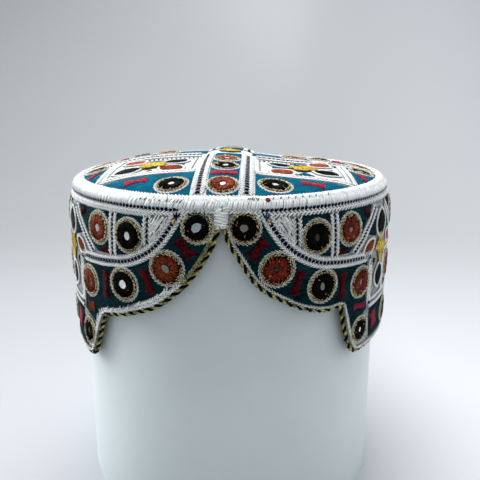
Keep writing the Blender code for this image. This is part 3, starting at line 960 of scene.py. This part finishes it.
def makeBandLines():
    off, wide, top = bandWork["braidOff"], bandWork["braidWidth"], bandWork["ringLineDrop"]
    high, width = bandWork["dashHeight"], bandWork["dashWidth"]
    first, second = bandWork["starMiddles"]
    for side, place in walls.items():
        white, navy = bmesh.new(), bmesh.new()
        # the line round the top, with a white braid under it
        dashes(navy, place, flatPath(((bandWork["ringLineStart"][side], top), (180.0, top)), 4.0),
               length=1.7, gap=0.4, width=2.0, lift=0.75, height=1.3, cross=1.0, lean=0.5)
        if side == "right":   # over the arch the line stops and a white braid runs on
            braid(white, place, straight(degrees(((-12.4, -1.2), (10.9, -1.2))), 4.0), width=2.2, lift=0.7, height=1.4)
            braid(white, place, flatPath(((9.4, 0.7), (180.0, 0.7)), 4.0), width=2.1, lift=0.5, pitch=2.1,
                  height=1.4, slant=0.65)
        else:
            braid(white, place, flatPath(((9.4, 0.5), (180.0, 0.5)), 4.0), width=1.8, lift=0.5, pitch=1.9)
            braid(white, place, flatPath(((20.0, 1.9), (180.0, 1.9)), 4.0), width=1.1, lift=0.4)
        braid(white, place, flatPath(((9.8, 2.3), (12.4, 2.5)), 1.0), width=1.5)
        # the arc, a small blue knot at its head, and the level run to the stems
        arc = flatPath(arcLine, 1.5)
        stem = [Vector(p) for p in degrees(bandWork["stem"])]
        dashes(navy, place, [p for p in arc if p.y > 3.6] + stem[:1], width=width, lift=0.5, height=high, length=1.8)
        knot(navy, place, bandWork["arcKnot"], 0.95, (2.3, 0.95, 0.95), stitch(6, 4, bandWork["arcKnotSlot"][side]))
        dashes(navy, place, straight(stem, 2.0), width=1.3, lift=0.45)
        braid(white, place, beside(arc, -off), width=wide)
        braid(white, place, beside(arc[:-2], off), width=wide)
        for low, far in bandWork["levelRuns"]:
            level = flatPath(((low, bandWork["levelDrop"]), (far, bandWork["levelDrop"])), 4.0)
            bordered(white, navy, place, level, width, off, wide, high, 0.5)
        for middle in (first, second):   # stems below each star
            for hand in (1, -1):
                for across, start in bandWork["stems"]:
                    stemLine = degrees([(middle + hand * across, d) for d in (start, 53.0)])
                    braid(white, place, straight(stemLine, 2.0), width=wide)
        lowLevel = flatPath(((53.0, bandWork["lowLevelDrop"]), (180.0, bandWork["lowLevelDrop"])), 4.0)
        bordered(white, navy, place, lowLevel, 1.4, 1.8, wide)
        for azimuth, bottom, thick in bandWork["uprights"]:
            line = straight(degrees(((azimuth, 2.6), (azimuth, bottom))), 2.0)
            dashes(navy, place, line, width=thick, lift=0.45, length=1.9, gap=0.45)
            for offset in (-1.6, 1.6):
                braid(white, place, beside(line, offset), width=1.5)
        for middle in (first + bandWork["starShift"][side], second):
            for hand in (1, -1):
                line = flatPath([(middle + hand * a, d) for a, d in bandWork["slant"]], 1.5)
                bordered(white, navy, place, line, 1.4, 1.6, 1.4)
        newPiece(f"whiteBraids_{side}", white, [threads["whiteBraid"]])
        newPiece(f"navyDashes_{side}", navy, [threads["navy"], threads["whiteBraid"], threads["inkBlue"]])


# rows inside the edge cord, thin on the right, wide and loose on the left: inset, first and last azimuth, braid
edgeRows = {
    "right": ((1.75, 0.0, 41.5, {"width": 0.9, "pitch": 1.6, "lift": 0.3, "loose": 0.2}),
              (2.0, 41.0, 180.0, {"width": 1.5, "pitch": 1.6, "lift": 0.3})),
    "left": ((1.75, 0.0, 12.0, {"width": 1.2, "pitch": 1.5, "lift": 0.35, "loose": 0.3, "slot": 1}),
             (2.0, 11.0, 180.0, {"width": 1.6, "pitch": 1.6, "lift": 0.35, "loose": 0.25}),
             (3.6, 15.0, 27.0, {"width": 1.8, "pitch": 1.7, "lift": 0.4, "loose": 0.4}),
             (3.1, 26.0, 46.0, {"width": 0.9, "pitch": 1.9, "lift": 0.35, "loose": 0.6, "thick": 0.36})),
}
edgeRowThreads = {"right": ("silver",), "left": ("whiteBraid", "greenGold")}


def makeEdgeRows():
    for side, place in plainWalls.items():
        bm = bmesh.new()
        for inset, first, last, look in edgeRows[side]:
            braid(bm, place, edgeInset(side, inset, first, last), **look)
        newPiece(f"edgeBraid_{side}", bm, [threads[name] for name in edgeRowThreads[side]])


def bone(bm, place, a, d, angle, halfLength, halfWidth, waist=0.62, slot=0):
    # a satin patch with a narrower waist, its middle at an azimuth and a drop
    satin(bm, place, a * perDegree, d, angle, halfLength, boneProfile(halfWidth, waist), lift=0.55, slot=slot)


redForm = {
    # the slanting patches of the arch: two ends and the half width
    "slanting": (((12.1, 11.6), (7.9, 19.2), 3.0), ((22.9, 27.0), (20.6, 38.4), 2.9),
                 ((37.9, 32.0), (37.9, 45.2), 2.7)),
    # azimuth, drop, angle, half length, half width, waist, thread
    "lobeTip": {"right": (46.9, 52.9, 0.16, 5.0, 2.0, 0.62, 1), "left": (46.4, 53.6, 0.16, 3.4, 2.9, 0.8, 2)},
    "middleRow": (79.9, 100.1, 141.4, 156.8, 172.2),          # azimuths between the mirrors
    "lowRow": (57.4, 80.9, 102.9, 124.9, 147.0, 169.0),
    "starTop": 10.3,    # degrees from a star's middle to the small patches beside it
    "starSide": 21.1,
    "threads": ("maroonBand", "crimsonBand", "rust"),
}


def makeRedPatches(side, place):
    first, second = bandWork["starMiddles"]
    red = bmesh.new()
    for (a0, d0), (a1, d1), half in redForm["slanting"]:
        across, down = (a1 - a0) * perDegree, d1 - d0
        bone(red, place, (a0 + a1) / 2, (d0 + d1) / 2, math.atan2(down, across), math.hypot(across, down) / 2, half)
    bone(red, place, *redForm["lobeTip"][side])
    for azimuth in redForm["middleRow"]:
        bone(red, place, azimuth, 40.6, math.pi / 2, 6.4, 2.4)
    for azimuth in redForm["lowRow"]:
        bone(red, place, azimuth, 65.4, math.pi / 2 if azimuth > 60 else 1.3, 4.6, 4.2, 0.8, 1)
    for middle, shift in ((first, bandWork["starShift"][side]), (second, 0.0)):
        for hand in (1, -1):
            bone(red, place, middle + shift - hand * redForm["starTop"], 5.6, 0.6 * hand, 2.6, 1.7, 0.9)
            bone(red, place, middle - hand * redForm["starSide"], 21.2, 0.0, 2.6, 1.5, 0.9)
    newPiece(f"redPatches_{side}", red, [threads[name] for name in redForm["threads"]])


starForm = {
    "threads": ("black", "rust", "yellow", "whiteBraid"),
    # petals: across, drop, angle, half length, half width, thread
    "petals": ((0.0, 13.6, math.pi / 2, 6.8, 6.2, 0), (-0.6, 41.6, math.pi / 2, 5.9, 5.2, 0),
               (14.6, 23.6, 0.48, 5.4, 2.9, 1), (-14.6, 23.6, -0.48, 5.4, 2.9, 1)),
    # the yellow middle: drop, angle, half length, half width, lift, slant
    "middle": ((27.0, math.pi / 2, 8.8, 5.8, 0.6, 0.6), (25.8, 0.0, 8.2, 4.6, 0.75, -0.6)),
    "outline": {"width": 1.2, "pitch": 1.3, "lift": 0.45, "slot": 3},
    "shift": 1.2,   # the first star's petals move this much of their panel's shift
}


def makeStars(side, place):
    first, second = bandWork["starMiddles"]
    star = bmesh.new()
    for middle in (first + bandWork["starShift"][side] * starForm["shift"], second):
        x = middle * perDegree
        for across, drop, angle, long, wide, slot in starForm["petals"]:
            satin(star, place, x + across, drop, angle, long, leafProfile(wide), lift=0.5, slot=slot)
        for drop, angle, long, wide, lift, slant in starForm["middle"]:
            satin(star, place, x, drop, angle, long, leafProfile(wide), lift=lift, slot=2, slant=slant, wide=1.3)
        for across, drop, angle, long, wide, slot in starForm["petals"]:
            outline = leafPath(x + across, drop, angle, long + 1.0, wide + 0.9)
            braid(star, place, outline, **starForm["outline"])
    newPiece(f"starWork_{side}", star, [threads[name] for name in starForm["threads"]])


silverForm = {
    "rows": 15,
    "firstRow": 3.4,    # mm from the arc to the first row of strands
    "rowStep": 0.5,
    "bundle": 5,        # rows in one bundle
    "slits": ((17.7, 7.0, 0.95, 4.2), (16.6, 4.4, 0.9, 1.8), (19.4, 9.6, 1.2, 1.6)),   # azimuth, drop, turn, length
    "knot": ((13.1, 3.3, 0.3), (13.4, 4.0, 1.4), (12.9, 4.4, 2.4)),                     # azimuth, drop, turn
}


def makeSilverCorner(side, place):
    # the silky white corner between arc and upright: long strands along the arc, in bundles, with black strands in the
    # slits between them as painted shade
    bm = bmesh.new()
    arc = flatPath(arcLine, 1.2)
    for row in range(silverForm["rows"]):
        strand = [p for p in beside(arc, -silverForm["firstRow"] - silverForm["rowStep"] * row)
                  if p.y > 2.6 and p.x < 19.9 * perDegree]
        bulge = 0.4 * math.sin((row % silverForm["bundle"]) / 4 * math.pi)
        for x, y, angle in walk(strand, 2.1) if len(strand) > 2 else ():
            layThread(bm, stitch(5, 4, 0), place, x + random.uniform(-0.5, 0.5), y + random.uniform(-0.5, 0.5),
                      0.5 + bulge, angle + random.uniform(-0.2, 0.2), random.uniform(4.0, 5.6), 0.86, 1.0)
    # painted shade: black strands laid along the slits between the bundles
    for azimuth, drop, turn, long in silverForm["slits"]:
        layThread(bm, stitch(5, 4, 1), place, azimuth * perDegree, drop, 1.25, turn, long, 0.55, 0.4)
    knot(bm, place, silverForm["knot"], 1.1, (1.7, 0.8, 0.9), stitch(5, 4, 2))
    newPiece(f"silverCorner_{side}", bm, [threads["silver"], threads["black"], threads["gold"]])


makeBandCloth()
makeBandFields()
makeBandLines()
makeEdgeRows()
for side, place in walls.items():
    makeRedPatches(side, place)
    makeStars(side, place)
    makeSilverCorner(side, place)
print("band ready")


def makeCrownCloth():
    rings, radius = 26, capForm["crownRadius"]
    bm = turnedShell([(radius * (i / rings) ** 0.9, 0.0) for i in range(rings + 1)], 120)
    uv = bm.loops.layers.uv.new("thread")
    for face in bm.faces:
        face.smooth = True
        for loop in face.loops:
            loop[uv].uv = (loop.vert.co.x / mm, loop.vert.co.y / mm)
    for vert in bm.verts:
        vert.co = crownArms["front"](vert.co.x / mm, -vert.co.y / mm, 0.0)
    bmesh.ops.recalc_face_normals(bm, faces=bm.faces)
    if bm.faces[:][0].normal.z < 0:
        bmesh.ops.reverse_faces(bm, faces=bm.faces)
    crown = newPiece("crownCloth", bm, [fields["crownWhite"], fields["inside"]], ("crown",))
    thicken(crown, capForm["crownCloth"])


crownWork = {   # mm across an arm and from the middle of the crown outwards
    "fieldRim": 83.4,       # the radius that the teal fields reach
    "lineRim": 82.0,
    "braidRim": 84.6,
    "armHalf": 7.2,         # half the teal strip down an arm
    "armLine": 10.9,        # its navy line
    "armStart": 16.0,
    "cellSide": 14.6,       # where the cell between two arms begins
    "fineLine": 17.0,
    "border": {"front": 53.4, "back": 53.4, "left": 62.6, "right": 62.6},   # how far out each cell's edge line runs
    "borderDash": {"front": 0.7, "back": 0.7, "left": 1.3, "right": 1.3},
    # the red patch near the rim: across, far, angle, half length, half width
    "rimPatch": {"front": (42.2, 63.0, 0.1, 5.6, 3.2), "back": (42.2, 63.0, 0.3, 5.6, 3.2),
                 "left": (36.0, 71.0, 0.3, 4.5, 2.6), "right": (36.0, 71.0, 0.3, 4.5, 2.6)},
}
crownStar = {
    "middle": {"left": (38.6, 37.5), "right": (40.0, 32.2)},
    "petals": {"left": (((50.8, 43.6), (27.6, 29.2)), ((51.0, 23.2), (27.8, 46.0))),    # black pair, rust pair
               "right": (((51.6, 39.2), (28.6, 26.2)), ((50.4, 17.4), (28.4, 45.6)))},
    "petalLong": 6.9,
    "petalWide": 5.6,
    "outlineOff": 0.8,
    "outline": {"width": 1.2, "pitch": 1.3, "lift": 0.45, "slot": 3},
    "yellow": {"slot": 2, "slant": 0.5, "wide": 1.5, "height": 1.2},
    "wedge": ((8.0, 0.0), (16.4, -5.4), (16.4, 5.4)),   # teal between two petals
    "threads": ("black", "litCrownRust", "yellow", "whiteBraid"),
}


def rimAt(x, radius=crownWork["fieldRim"]):
    return math.sqrt(radius * radius - x * x)


def makeArm(arm, place, teal, white, navy, red):
    half, start = crownWork["armHalf"], crownWork["armStart"]
    line, cell = crownWork["armLine"], crownWork["cellSide"]
    border = crownWork["border"][arm]
    corner = rimAt(border, crownWork["lineRim"])
    fillPatch(teal, place, [(-half, 13.0), (half, 13.0), (half, rimAt(half)), (0.0, rimAt(0.0)), (-half, rimAt(half))])
    for hand in (1, -1):
        path = straight([(hand * line, start), (hand * line, rimAt(line) - 0.5)], 2.0)
        dashes(navy, place, path, length=1.9, gap=0.7, width=2.5, height=1.1, cross=0.6)
        for off in (-2.1, 2.1):
            braid(white, place, beside(path, off), width=1.9, pitch=2.0)
        # teal segment between the arm, the cell and the rim
        widest = rimAt(border + 3.2)
        rim = [cell + (widest - cell - 1.0) * k / 7 for k in range(8)]
        segment = [(hand * cell, border + 3.0), *((hand * x, rimAt(x)) for x in rim),
                   (hand * (widest - 1.0), border + 3.4), (hand * 36.0, border + 3.0)]
        fillPatch(teal, place, segment)
        across, far, angle, long, wide = crownWork["rimPatch"][arm]
        satin(red, place, hand * across, far, angle * hand, long, boneProfile(wide, 0.6), lift=0.5)
        # the cell's edge and the fine line beside the arm
        side = straight([(hand * cell, border), (hand * corner, border)], 2.0)
        dashes(navy, place, side, width=crownWork["borderDash"][arm], length=1.5, gap=0.7)
        for off in (-1.5, 1.5):
            braid(white, place, beside(side, off), width=1.9, pitch=2.0, height=1.3)
        fine = straight([(hand * crownWork["fineLine"], start), (hand * crownWork["fineLine"], border - 2.4)], 2.0)
        dashes(navy, place, fine, width=0.8, length=1.1, gap=1.3)
    satin(red, place, 0.0, 62.8, 0.0, 6.2, boneProfile(2.4, 0.8), lift=0.5)
    turns = [math.radians(-45 + 90 * i / 40) for i in range(41)]
    rim = crownWork["braidRim"]
    braid(white, place, [Vector((rim * math.sin(a), rim * math.cos(a))) for a in turns], width=1.8)


def makeCrownStar(place, side, hand, star, teal):
    cx, cy = crownStar["middle"][side]
    long, wide, off = crownStar["petalLong"], crownStar["petalWide"], crownStar["outlineOff"]
    for slot, pair in enumerate(crownStar["petals"][side]):
        for px, py in pair:
            angle = math.atan2(py - cy, hand * (px - cx))
            satin(star, place, hand * px, py, angle, long, leafProfile(wide), lift=0.5, slot=slot)
            braid(star, place, leafPath(hand * px, py, angle, long + off, wide + off), **crownStar["outline"])
    for (ax, ay), (bx, by) in crownStar["petals"][side]:
        angle = math.atan2(ay - by, hand * (ax - bx))
        satin(star, place, hand * cx, cy, angle, 7.6, leafProfile(6.2), lift=0.9, **crownStar["yellow"])
    for a in range(4):
        c, s = math.cos(a * math.pi / 2), math.sin(a * math.pi / 2)
        wedge = [(hand * cx + u * c - v * s, cy + u * s + v * c) for u, v in crownStar["wedge"]]
        fillPatch(teal, place, wedge, rim=0.3)


def makeCrownWork():
    teal, white, navy, red, star = (bmesh.new() for piece in range(5))
    for arm, place in crownArms.items():
        makeArm(arm, place, teal, white, navy, red)
    for turn in (0.0, math.pi / 2):   # a yellow flower where the arms cross
        satin(star, crownArms["front"], 0.0, 0.0, turn, 6.4, leafProfile(5.0), lift=0.8, **crownStar["yellow"])
    for side, hand in (("left", -1), ("right", 1)):   # one star in each cell between the arms
        makeCrownStar(crownArms["front"], side, hand, star, teal)
        makeCrownStar(crownArms["back"], side, -hand, star, teal)
    newPiece("crownTealFields", teal, [fields["crownTeal"]])
    newPiece("crownWhiteBraids", white, [threads["whiteBraid"]])
    newPiece("crownNavyDashes", navy, [threads["navy"], threads["whiteBraid"]])
    newPiece("crownRedPatches", red, [threads["crimsonCrown"]])
    newPiece("crownStars", star, [threads[name] for name in crownStar["threads"]])


makeCrownCloth()
makeCrownWork()
print("crown ready")

seamForm = {   # profiles: radius, and height over the ring line
    "core": ((84.8, 5.0), (86.0, 5.4), (87.4, 4.9), (88.7, 3.7), (89.0, 2.6), (88.6, 1.6)),
    "upper": ((84.0, 5.7), (85.2, 6.1), (86.6, 5.8), (87.8, 4.9), (88.6, 3.9)),
    "lower": ((86.8, 5.5), (88.0, 4.7), (89.0, 3.6), (89.5, 2.5), (89.3, 1.5)),
    "lean": {"lower": -1.4, "upper": 1.9},
    "thread": {"lower": 0.68, "upper": 0.72},   # radius of one stitch
    "shift": {"lower": 0.0, "upper": 0.3},      # mm round the seam
    "pitch": 1.15,
    "middleRadius": 91.0,
    "gapRadius": 86.9,
    "gapHeight": 6.1,
    "gaps": ((7.7, 0.58, 6), (15.0, 2.3, 9), (-11.5, -1.05, 5), (-18.0, -1.6, 5)),   # first azimuth, step, count
    "redKnot": ((13.3, 1.6, 0.2), (13.3, 1.6, 0.9), (13.3, 1.6, 1.6), (13.3, 1.6, 2.4)),
}


def strandMesh(name, points, radius, lean, sides=5):
    # one whip stitch at the front: a tube along its profile, leaning sideways as it goes
    bm = bmesh.new()
    uv = bm.loops.layers.uv.new("thread")
    last = len(points) - 1
    path = [Vector((lean * (i / last - 0.5), -r, h)) for i, (r, h) in enumerate(points)]
    rings = []
    for i, point in enumerate(path):
        size = radius * (0.45 if i in (0, last) else 1.0)
        made = bmesh.ops.create_circle(bm, cap_ends=False, segments=sides, radius=size)["verts"]
        turn = Vector((0, 0, 1)).rotation_difference(heading(path, i)).to_matrix()
        bmesh.ops.rotate(bm, verts=made, matrix=turn)
        bmesh.ops.translate(bm, verts=made, vec=point)
        rings.append(made)
    edges = bm.edges[:]
    for a, b in zip(rings, rings[1:]):
        pair = [e for e in edges if all(v in a for v in e.verts) or all(v in b for v in e.verts)]
        bmesh.ops.bridge_loops(bm, edges=pair)
    # the UV's first value rises to the top of each stitch, which sets the thread's painted shade
    centre = Vector((0.0, -points[2][0] + 3.0, points[2][1] - 3.0))
    for k, (ring, point) in enumerate(zip(rings, path)):
        for vert in ring:
            rise = (vert.co - point).dot((point - centre).normalized()) / radius
            for loop in vert.link_loops:
                loop[uv].uv = (0.5 + 0.5 * rise, k / last)
    for face in bm.faces:
        face.smooth = True
    bmesh.ops.recalc_face_normals(bm, faces=bm.faces)
    bmesh.ops.translate(bm, verts=bm.verts, vec=(0, 0, capForm["ringHeight"]))
    bmesh.ops.scale(bm, verts=bm.verts, vec=(mm, mm, mm))
    return restingMesh(name, bm)


def onSeam(x, y, lift):
    # y runs outwards and down over the seam's top row
    turn, radius = math.radians(x / perDegree), seamForm["gapRadius"] + y * 0.75
    height = capForm["ringHeight"] + seamForm["gapHeight"] - 0.65 * y + lift
    return Vector((radius * math.sin(turn), -radius * math.cos(turn), height)) * mm


def makeSeam():
    bm = turnedShell([(r, capForm["ringHeight"] + h) for r, h in seamForm["core"]], 180)
    uv = bm.loops.layers.uv.new("thread")
    bmesh.ops.recalc_face_normals(bm, faces=bm.faces)
    for face in bm.faces:
        face.smooth = True
        for loop in face.loops:
            # a fixed value part way up the thread's painted shade, so the core is a little darkened
            loop[uv].uv = (0.75, 0.5)
    count = round(math.tau * seamForm["middleRadius"] / seamForm["pitch"])
    for layer in ("lower", "upper"):
        mesh, rest = strandMesh(layer, seamForm[layer], seamForm["thread"][layer], seamForm["lean"][layer])
        shift = seamForm["shift"][layer] / seamForm["middleRadius"]
        for k in range(count):
            turn = (k + random.uniform(-0.22, 0.22)) * math.tau / count + shift
            grow = 1.0 + random.uniform(-0.0022, 0.0022)
            mesh.vertices.foreach_set("co", rest)
            lift = Matrix.Translation((0, 0, random.uniform(-0.12, 0.12) * mm))
            mesh.transform(lift @ Matrix.Rotation(turn, 4, "Z") @ Matrix.Diagonal((grow, grow, 1.0, 1.0)))
            bm.from_mesh(mesh)
    newPiece("seamRoll", bm, [threads["seamWhite"]], ("crown_seam",))
    # painted shade: navy stitches laid as the dark gaps between the top row's stitches near the front, and one red knot
    dark = bmesh.new()
    for first, step, number in seamForm["gaps"]:
        y, turn = (0.7, 2.1) if first > 0 else (2.3, 2.0)
        for k in range(number):
            layThread(dark, stitch(5, 4, 0), onSeam, (first + step * k) * perDegree, random.uniform(-0.3, 0.3) + y, 0.3,
                      turn, random.uniform(1.3, 2.3), 0.5, 0.4)
    knot(dark, onSeam, seamForm["redKnot"], 0.5, (2.4, 0.95, 0.7), stitch(5, 4, 1))
    newPiece("seamGapShade", dark, [threads["navy"], threads["crimsonBand"]])


edgeCordForm = {
    "strandRadius": 0.70,
    "offset": 0.58,   # from the cord's middle to a strand's
    "pitch": 5.6,     # mm along the cord for one twist
    "step": 0.6,
    "strands": (("blackStrand", "black", 0.0), ("greenGoldStrand", "greenGold", math.pi)),   # name, thread, phase
}


def cordSpots():
    # places at an even pitch round the whole lower edge, in the middle of the cloth
    middle = -capForm["bandCloth"] / 2
    loop = [bandPoint(p.x / perDegree, p.y, middle) for p in edgeSide("right")[:-1]]
    loop += [bandPoint(-p.x / perDegree, p.y, middle) for p in edgeSide("left")[:0:-1]]
    loop.append(loop[0].copy())
    total = sum((b - a).length for a, b in zip(loop, loop[1:])) / mm
    spots = evenly(loop, round(total / edgeCordForm["step"]), 0.0)
    return [point for point, run in spots], round(total / edgeCordForm["pitch"])


def makeEdgeCord():
    spots, turns = cordSpots()
    count = len(spots)
    for name, thread, phase in edgeCordForm["strands"]:
        curve = bpy.data.curves.new(name, "CURVE")
        curve.dimensions = "3D"
        curve.bevel_depth = edgeCordForm["strandRadius"] * mm
        curve.bevel_resolution = 1
        curve.use_fill_caps = False
        spline = curve.splines.new("POLY")
        spline.points.add(count - 1)
        for k, spot in enumerate(spots):
            along = (spots[(k + 1) % count] - spots[k - 1]).normalized()
            side = along.cross(Vector((spot.x, spot.y, 0.0)).normalized()).normalized()
            out = side.cross(along)
            a = phase + math.tau * turns * k / count
            point = spot + (out * math.cos(a) + side * math.sin(a)) * edgeCordForm["offset"] * mm
            spline.points[k].co = (*point, 1.0)
        spline.use_cyclic_u = True
        made = addObject(name, curve)
        bpy.context.view_layer.update()
        mesh = bpy.data.meshes.new_from_object(made.evaluated_get(bpy.context.evaluated_depsgraph_get()))
        bpy.data.objects.remove(made)
        bm = bmesh.new()
        bm.from_mesh(mesh)
        uv = bm.loops.layers.uv.get("thread") or bm.loops.layers.uv.new("thread")
        for face in bm.faces:
            face.smooth = True
            for corner in face.loops:
                corner[uv].uv = (1.0, corner.vert.co.z / mm)
        newPiece("edgeCord_" + name, bm, [threads[thread]], ("edge_cord",))


tackForm = {
    "perLayer": 11,
    "layers": 4,
    "top": -2.4,      # mm under the ring line
    "height": 8.0,
    "half": 3.6,      # half its width at the top, and how much narrower it is 6 mm down
    "narrowing": 0.9,
    "greenGold": ((0.3, -2.6, 0.4), (0.5, -2.0, 1.5), (0.2, -3.0, 2.5), (-0.4, 5.4, 1.2), (0.8, 5.8, 1.7)),
}


def makeTack():
    # wraps over each other across the top of the arch, and a few green-gold ends
    bm = bmesh.new()
    for k in range(tackForm["perLayer"] * tackForm["layers"]):
        layer, row = divmod(k, tackForm["perLayer"])
        y = tackForm["top"] + tackForm["height"] * row / 10
        half = tackForm["half"] - tackForm["narrowing"] * max(0.0, y / 6.0)
        layThread(bm, stitch(6, 4, 0), rightWall, random.uniform(-0.5, 0.5), y + random.uniform(-0.3, 0.3),
                  0.9 + 0.3 * layer, random.uniform(-0.35, 0.35), 2 * half * random.uniform(0.7, 1.0), 0.85, 1.3)
    for x, y, turn in tackForm["greenGold"]:
        layThread(bm, stitch(5, 4, 1), rightWall, x, y, 2.2, turn, 1.5, 0.7, 0.6)
    newPiece("barTackWraps", bm, [threads["whiteBraid"], threads["greenGold"]], ("bar_tack",))


makeSeam()
makeEdgeCord()
makeTack()
print("seam and cord ready")

standForm = {
    "profile": ((88.8, 0.0), (88.8, 1.0), (85.4, 168.8), (84.2, 170.0), (82.4, 170.0), (82.4, 169.0), (85.8, 1.0),
                (85.8, 0.0)),   # radius and height
    "darker": (0.64, 0.71, 0.72),
    "lighter": (0.68, 0.75, 0.76),
    "roughness": 0.32,
}


def makeStand():
    bm = turnedShell(standForm["profile"], 192, closed=True)
    bmesh.ops.recalc_face_normals(bm, faces=bm.faces)
    for face in bm.faces:
        face.smooth = face.calc_area() > 0.00002 and abs(face.normal.z) < 0.3
    material, tree, shader = newMaterial("standPlastic", {"Roughness": standForm["roughness"],
                                                          "Specular IOR Level": 0.5})
    tone = rampBetween(tree, grain(tree, 26.0, 4.0), (0.3, standForm["darker"]), (0.7, standForm["lighter"]))
    tree.links.new(tone, shader.inputs["Base Color"])
    addBump(tree, shader, grain(tree, 700.0, 2.0), 0.08, 0.0002)
    newPiece("standTube", bm, [material], ("stand",))


stageForm = {   # metres, and linear colours
    "reach": 12.0,             # how far the floor runs to the front and to each side
    "wallBack": 1.15,
    "wallTop": 3.0,
    "bendRadius": 0.75,
    "wallFrom": (-0.04, 0.55),   # where the floor's tone passes into the wall's
    # the tones on the left and right, and where one passes into the other; the left is darker and the right lighter as
    # painted light, evening out how the lamps fall on it
    "floor": ((0.69, 0.71, 0.75), (0.86, 0.88, 0.92), 0.06, 0.17),
    "wall": ((0.49, 0.51, 0.53), (0.66, 0.68, 0.71), 0.05, 0.55),
    "roughness": 0.3,
}


def makeStage():
    # floor and wall in one sheet with a wide bend, so no corner shows
    reach, back, bend = stageForm["reach"], stageForm["wallBack"], stageForm["bendRadius"]
    turns = [math.radians(5 * k) for k in range(1, 19)]
    line = [(-reach, 0.0), (back - bend, 0.0),
            *((back - bend + bend * math.sin(a), bend - bend * math.cos(a)) for a in turns),
            (back, stageForm["wallTop"])]
    bm = bmesh.new()
    verts = [bm.verts.new((-reach, y, z)) for y, z in line]
    edges = [bm.edges.new(pair) for pair in zip(verts, verts[1:])]
    made = bmesh.ops.extrude_edge_only(bm, edges=edges)["geom"]
    bmesh.ops.translate(bm, verts=[v for v in made if isinstance(v, bmesh.types.BMVert)], vec=(2 * reach, 0.0, 0.0))
    bmesh.ops.recalc_face_normals(bm, faces=bm.faces)
    if sum(f.normal.z for f in bm.faces) < 0:
        bmesh.ops.reverse_faces(bm, faces=bm.faces)
    for face in bm.faces:
        face.smooth = True
    material, tree, shader = newMaterial("paleBackdrop", {"Roughness": stageForm["roughness"],
                                                          "Specular IOR Level": 0.5})
    place = addNode(tree, "SeparateXYZ", {0: addNode(tree, "TexCoord").outputs["Object"]}).outputs
    tones = []
    # painted light: each tone runs from darker on the left to lighter on the right
    for kind in ("floor", "wall"):
        left, right, start, end = stageForm[kind]
        tones.append(rampBetween(tree, stretch(tree, place["X"], start, end, smooth=True), (0.0, left), (1.0, right)))
    away = stretch(tree, place["Y"], *stageForm["wallFrom"], smooth=True)
    tree.links.new(mixed(tree, away, *tones), shader.inputs["Base Color"])
    backdrop = meshObject("backdrop", bm, [material])
    return backdrop


roomForm = {
    "colour": (0.93, 0.97, 1.0),
    "left": 0.54,    # the room is a little brighter on the left
    "right": 0.48,
}


def makeRoom():
    world = bpy.data.worlds.new("softRoom")
    bpy.context.scene.world = world
    world.use_nodes = True
    tree = world.node_tree
    back = tree.nodes["Background"]
    back.inputs["Color"].default_value = (*roomForm["colour"], 1.0)
    heading = addNode(tree, "SeparateXYZ", {0: addNode(tree, "TexCoord").outputs["Generated"]}).outputs["X"]
    strength = addNode(tree, "MapRange", {"Value": heading, "From Min": -1.0, "To Min": roomForm["left"],
                                          "To Max": roomForm["right"]})
    tree.links.new(strength.outputs[0], back.inputs["Strength"])


lampForms = {   # place, target, size, power, colour
    "overhead": ((-0.1, 0.25, 1.1), (0.0, 0.05, 0.12), (1.0, 0.9), 13.0, (1.0, 0.99, 0.98)),
    "leftWindow": ((-1.1, 0.45, 0.6), (0.0, 0.0, 0.10), (0.7, 0.9), 18.0, (0.96, 0.98, 1.0)),
    "rightFill": ((1.1, 0.25, 0.55), (0.0, 0.0, 0.12), (0.7, 0.9), 4.0, (0.97, 0.99, 1.0)),
}


def makeLamp(name):
    place, target, size, power, colour = lampForms[name]
    light = bpy.data.lights.new(name, "AREA")
    light.shape = "RECTANGLE"
    light.size, light.size_y = size
    light.energy = power
    light.color = colour
    lamp = addObject(name, light)
    lamp.location = place
    lamp.rotation_euler = (Vector(target) - Vector(place)).to_track_quat("-Z", "Y").to_euler()
    return lamp


def makeLamps(backdrop):
    lamps = {name: makeLamp(name) for name in lampForms}
    spared = bpy.data.collections.new("notLitFromTheSides")   # the backdrop keeps an even tone
    spared.objects.link(backdrop)
    for name in ("leftWindow", "rightFill"):
        lamps[name].light_linking.receiver_collection = spared
    spared.collection_objects[0].light_linking.link_state = "EXCLUDE"


cameraForm = {   # fitted to the photo
    "place": (0.0140, -0.3083, 0.2206),
    "turn": (74.373, 0.0, 1.534),   # degrees
    "lens": 39.0,
    "sensor": 36.0,
}


def makeCamera():
    camera = bpy.data.cameras.new("photoCamera")
    camera.lens = cameraForm["lens"]
    camera.sensor_width = cameraForm["sensor"]
    holder = addObject("photoCamera", camera)
    holder.location = cameraForm["place"]
    holder.rotation_euler = [math.radians(a) for a in cameraForm["turn"]]
    bpy.context.scene.camera = holder


makeStand()
backdrop = makeStage()
makeRoom()
makeLamps(backdrop)
makeCamera()
bpy.context.scene.view_settings.view_transform = "Standard"

print("scene ready")
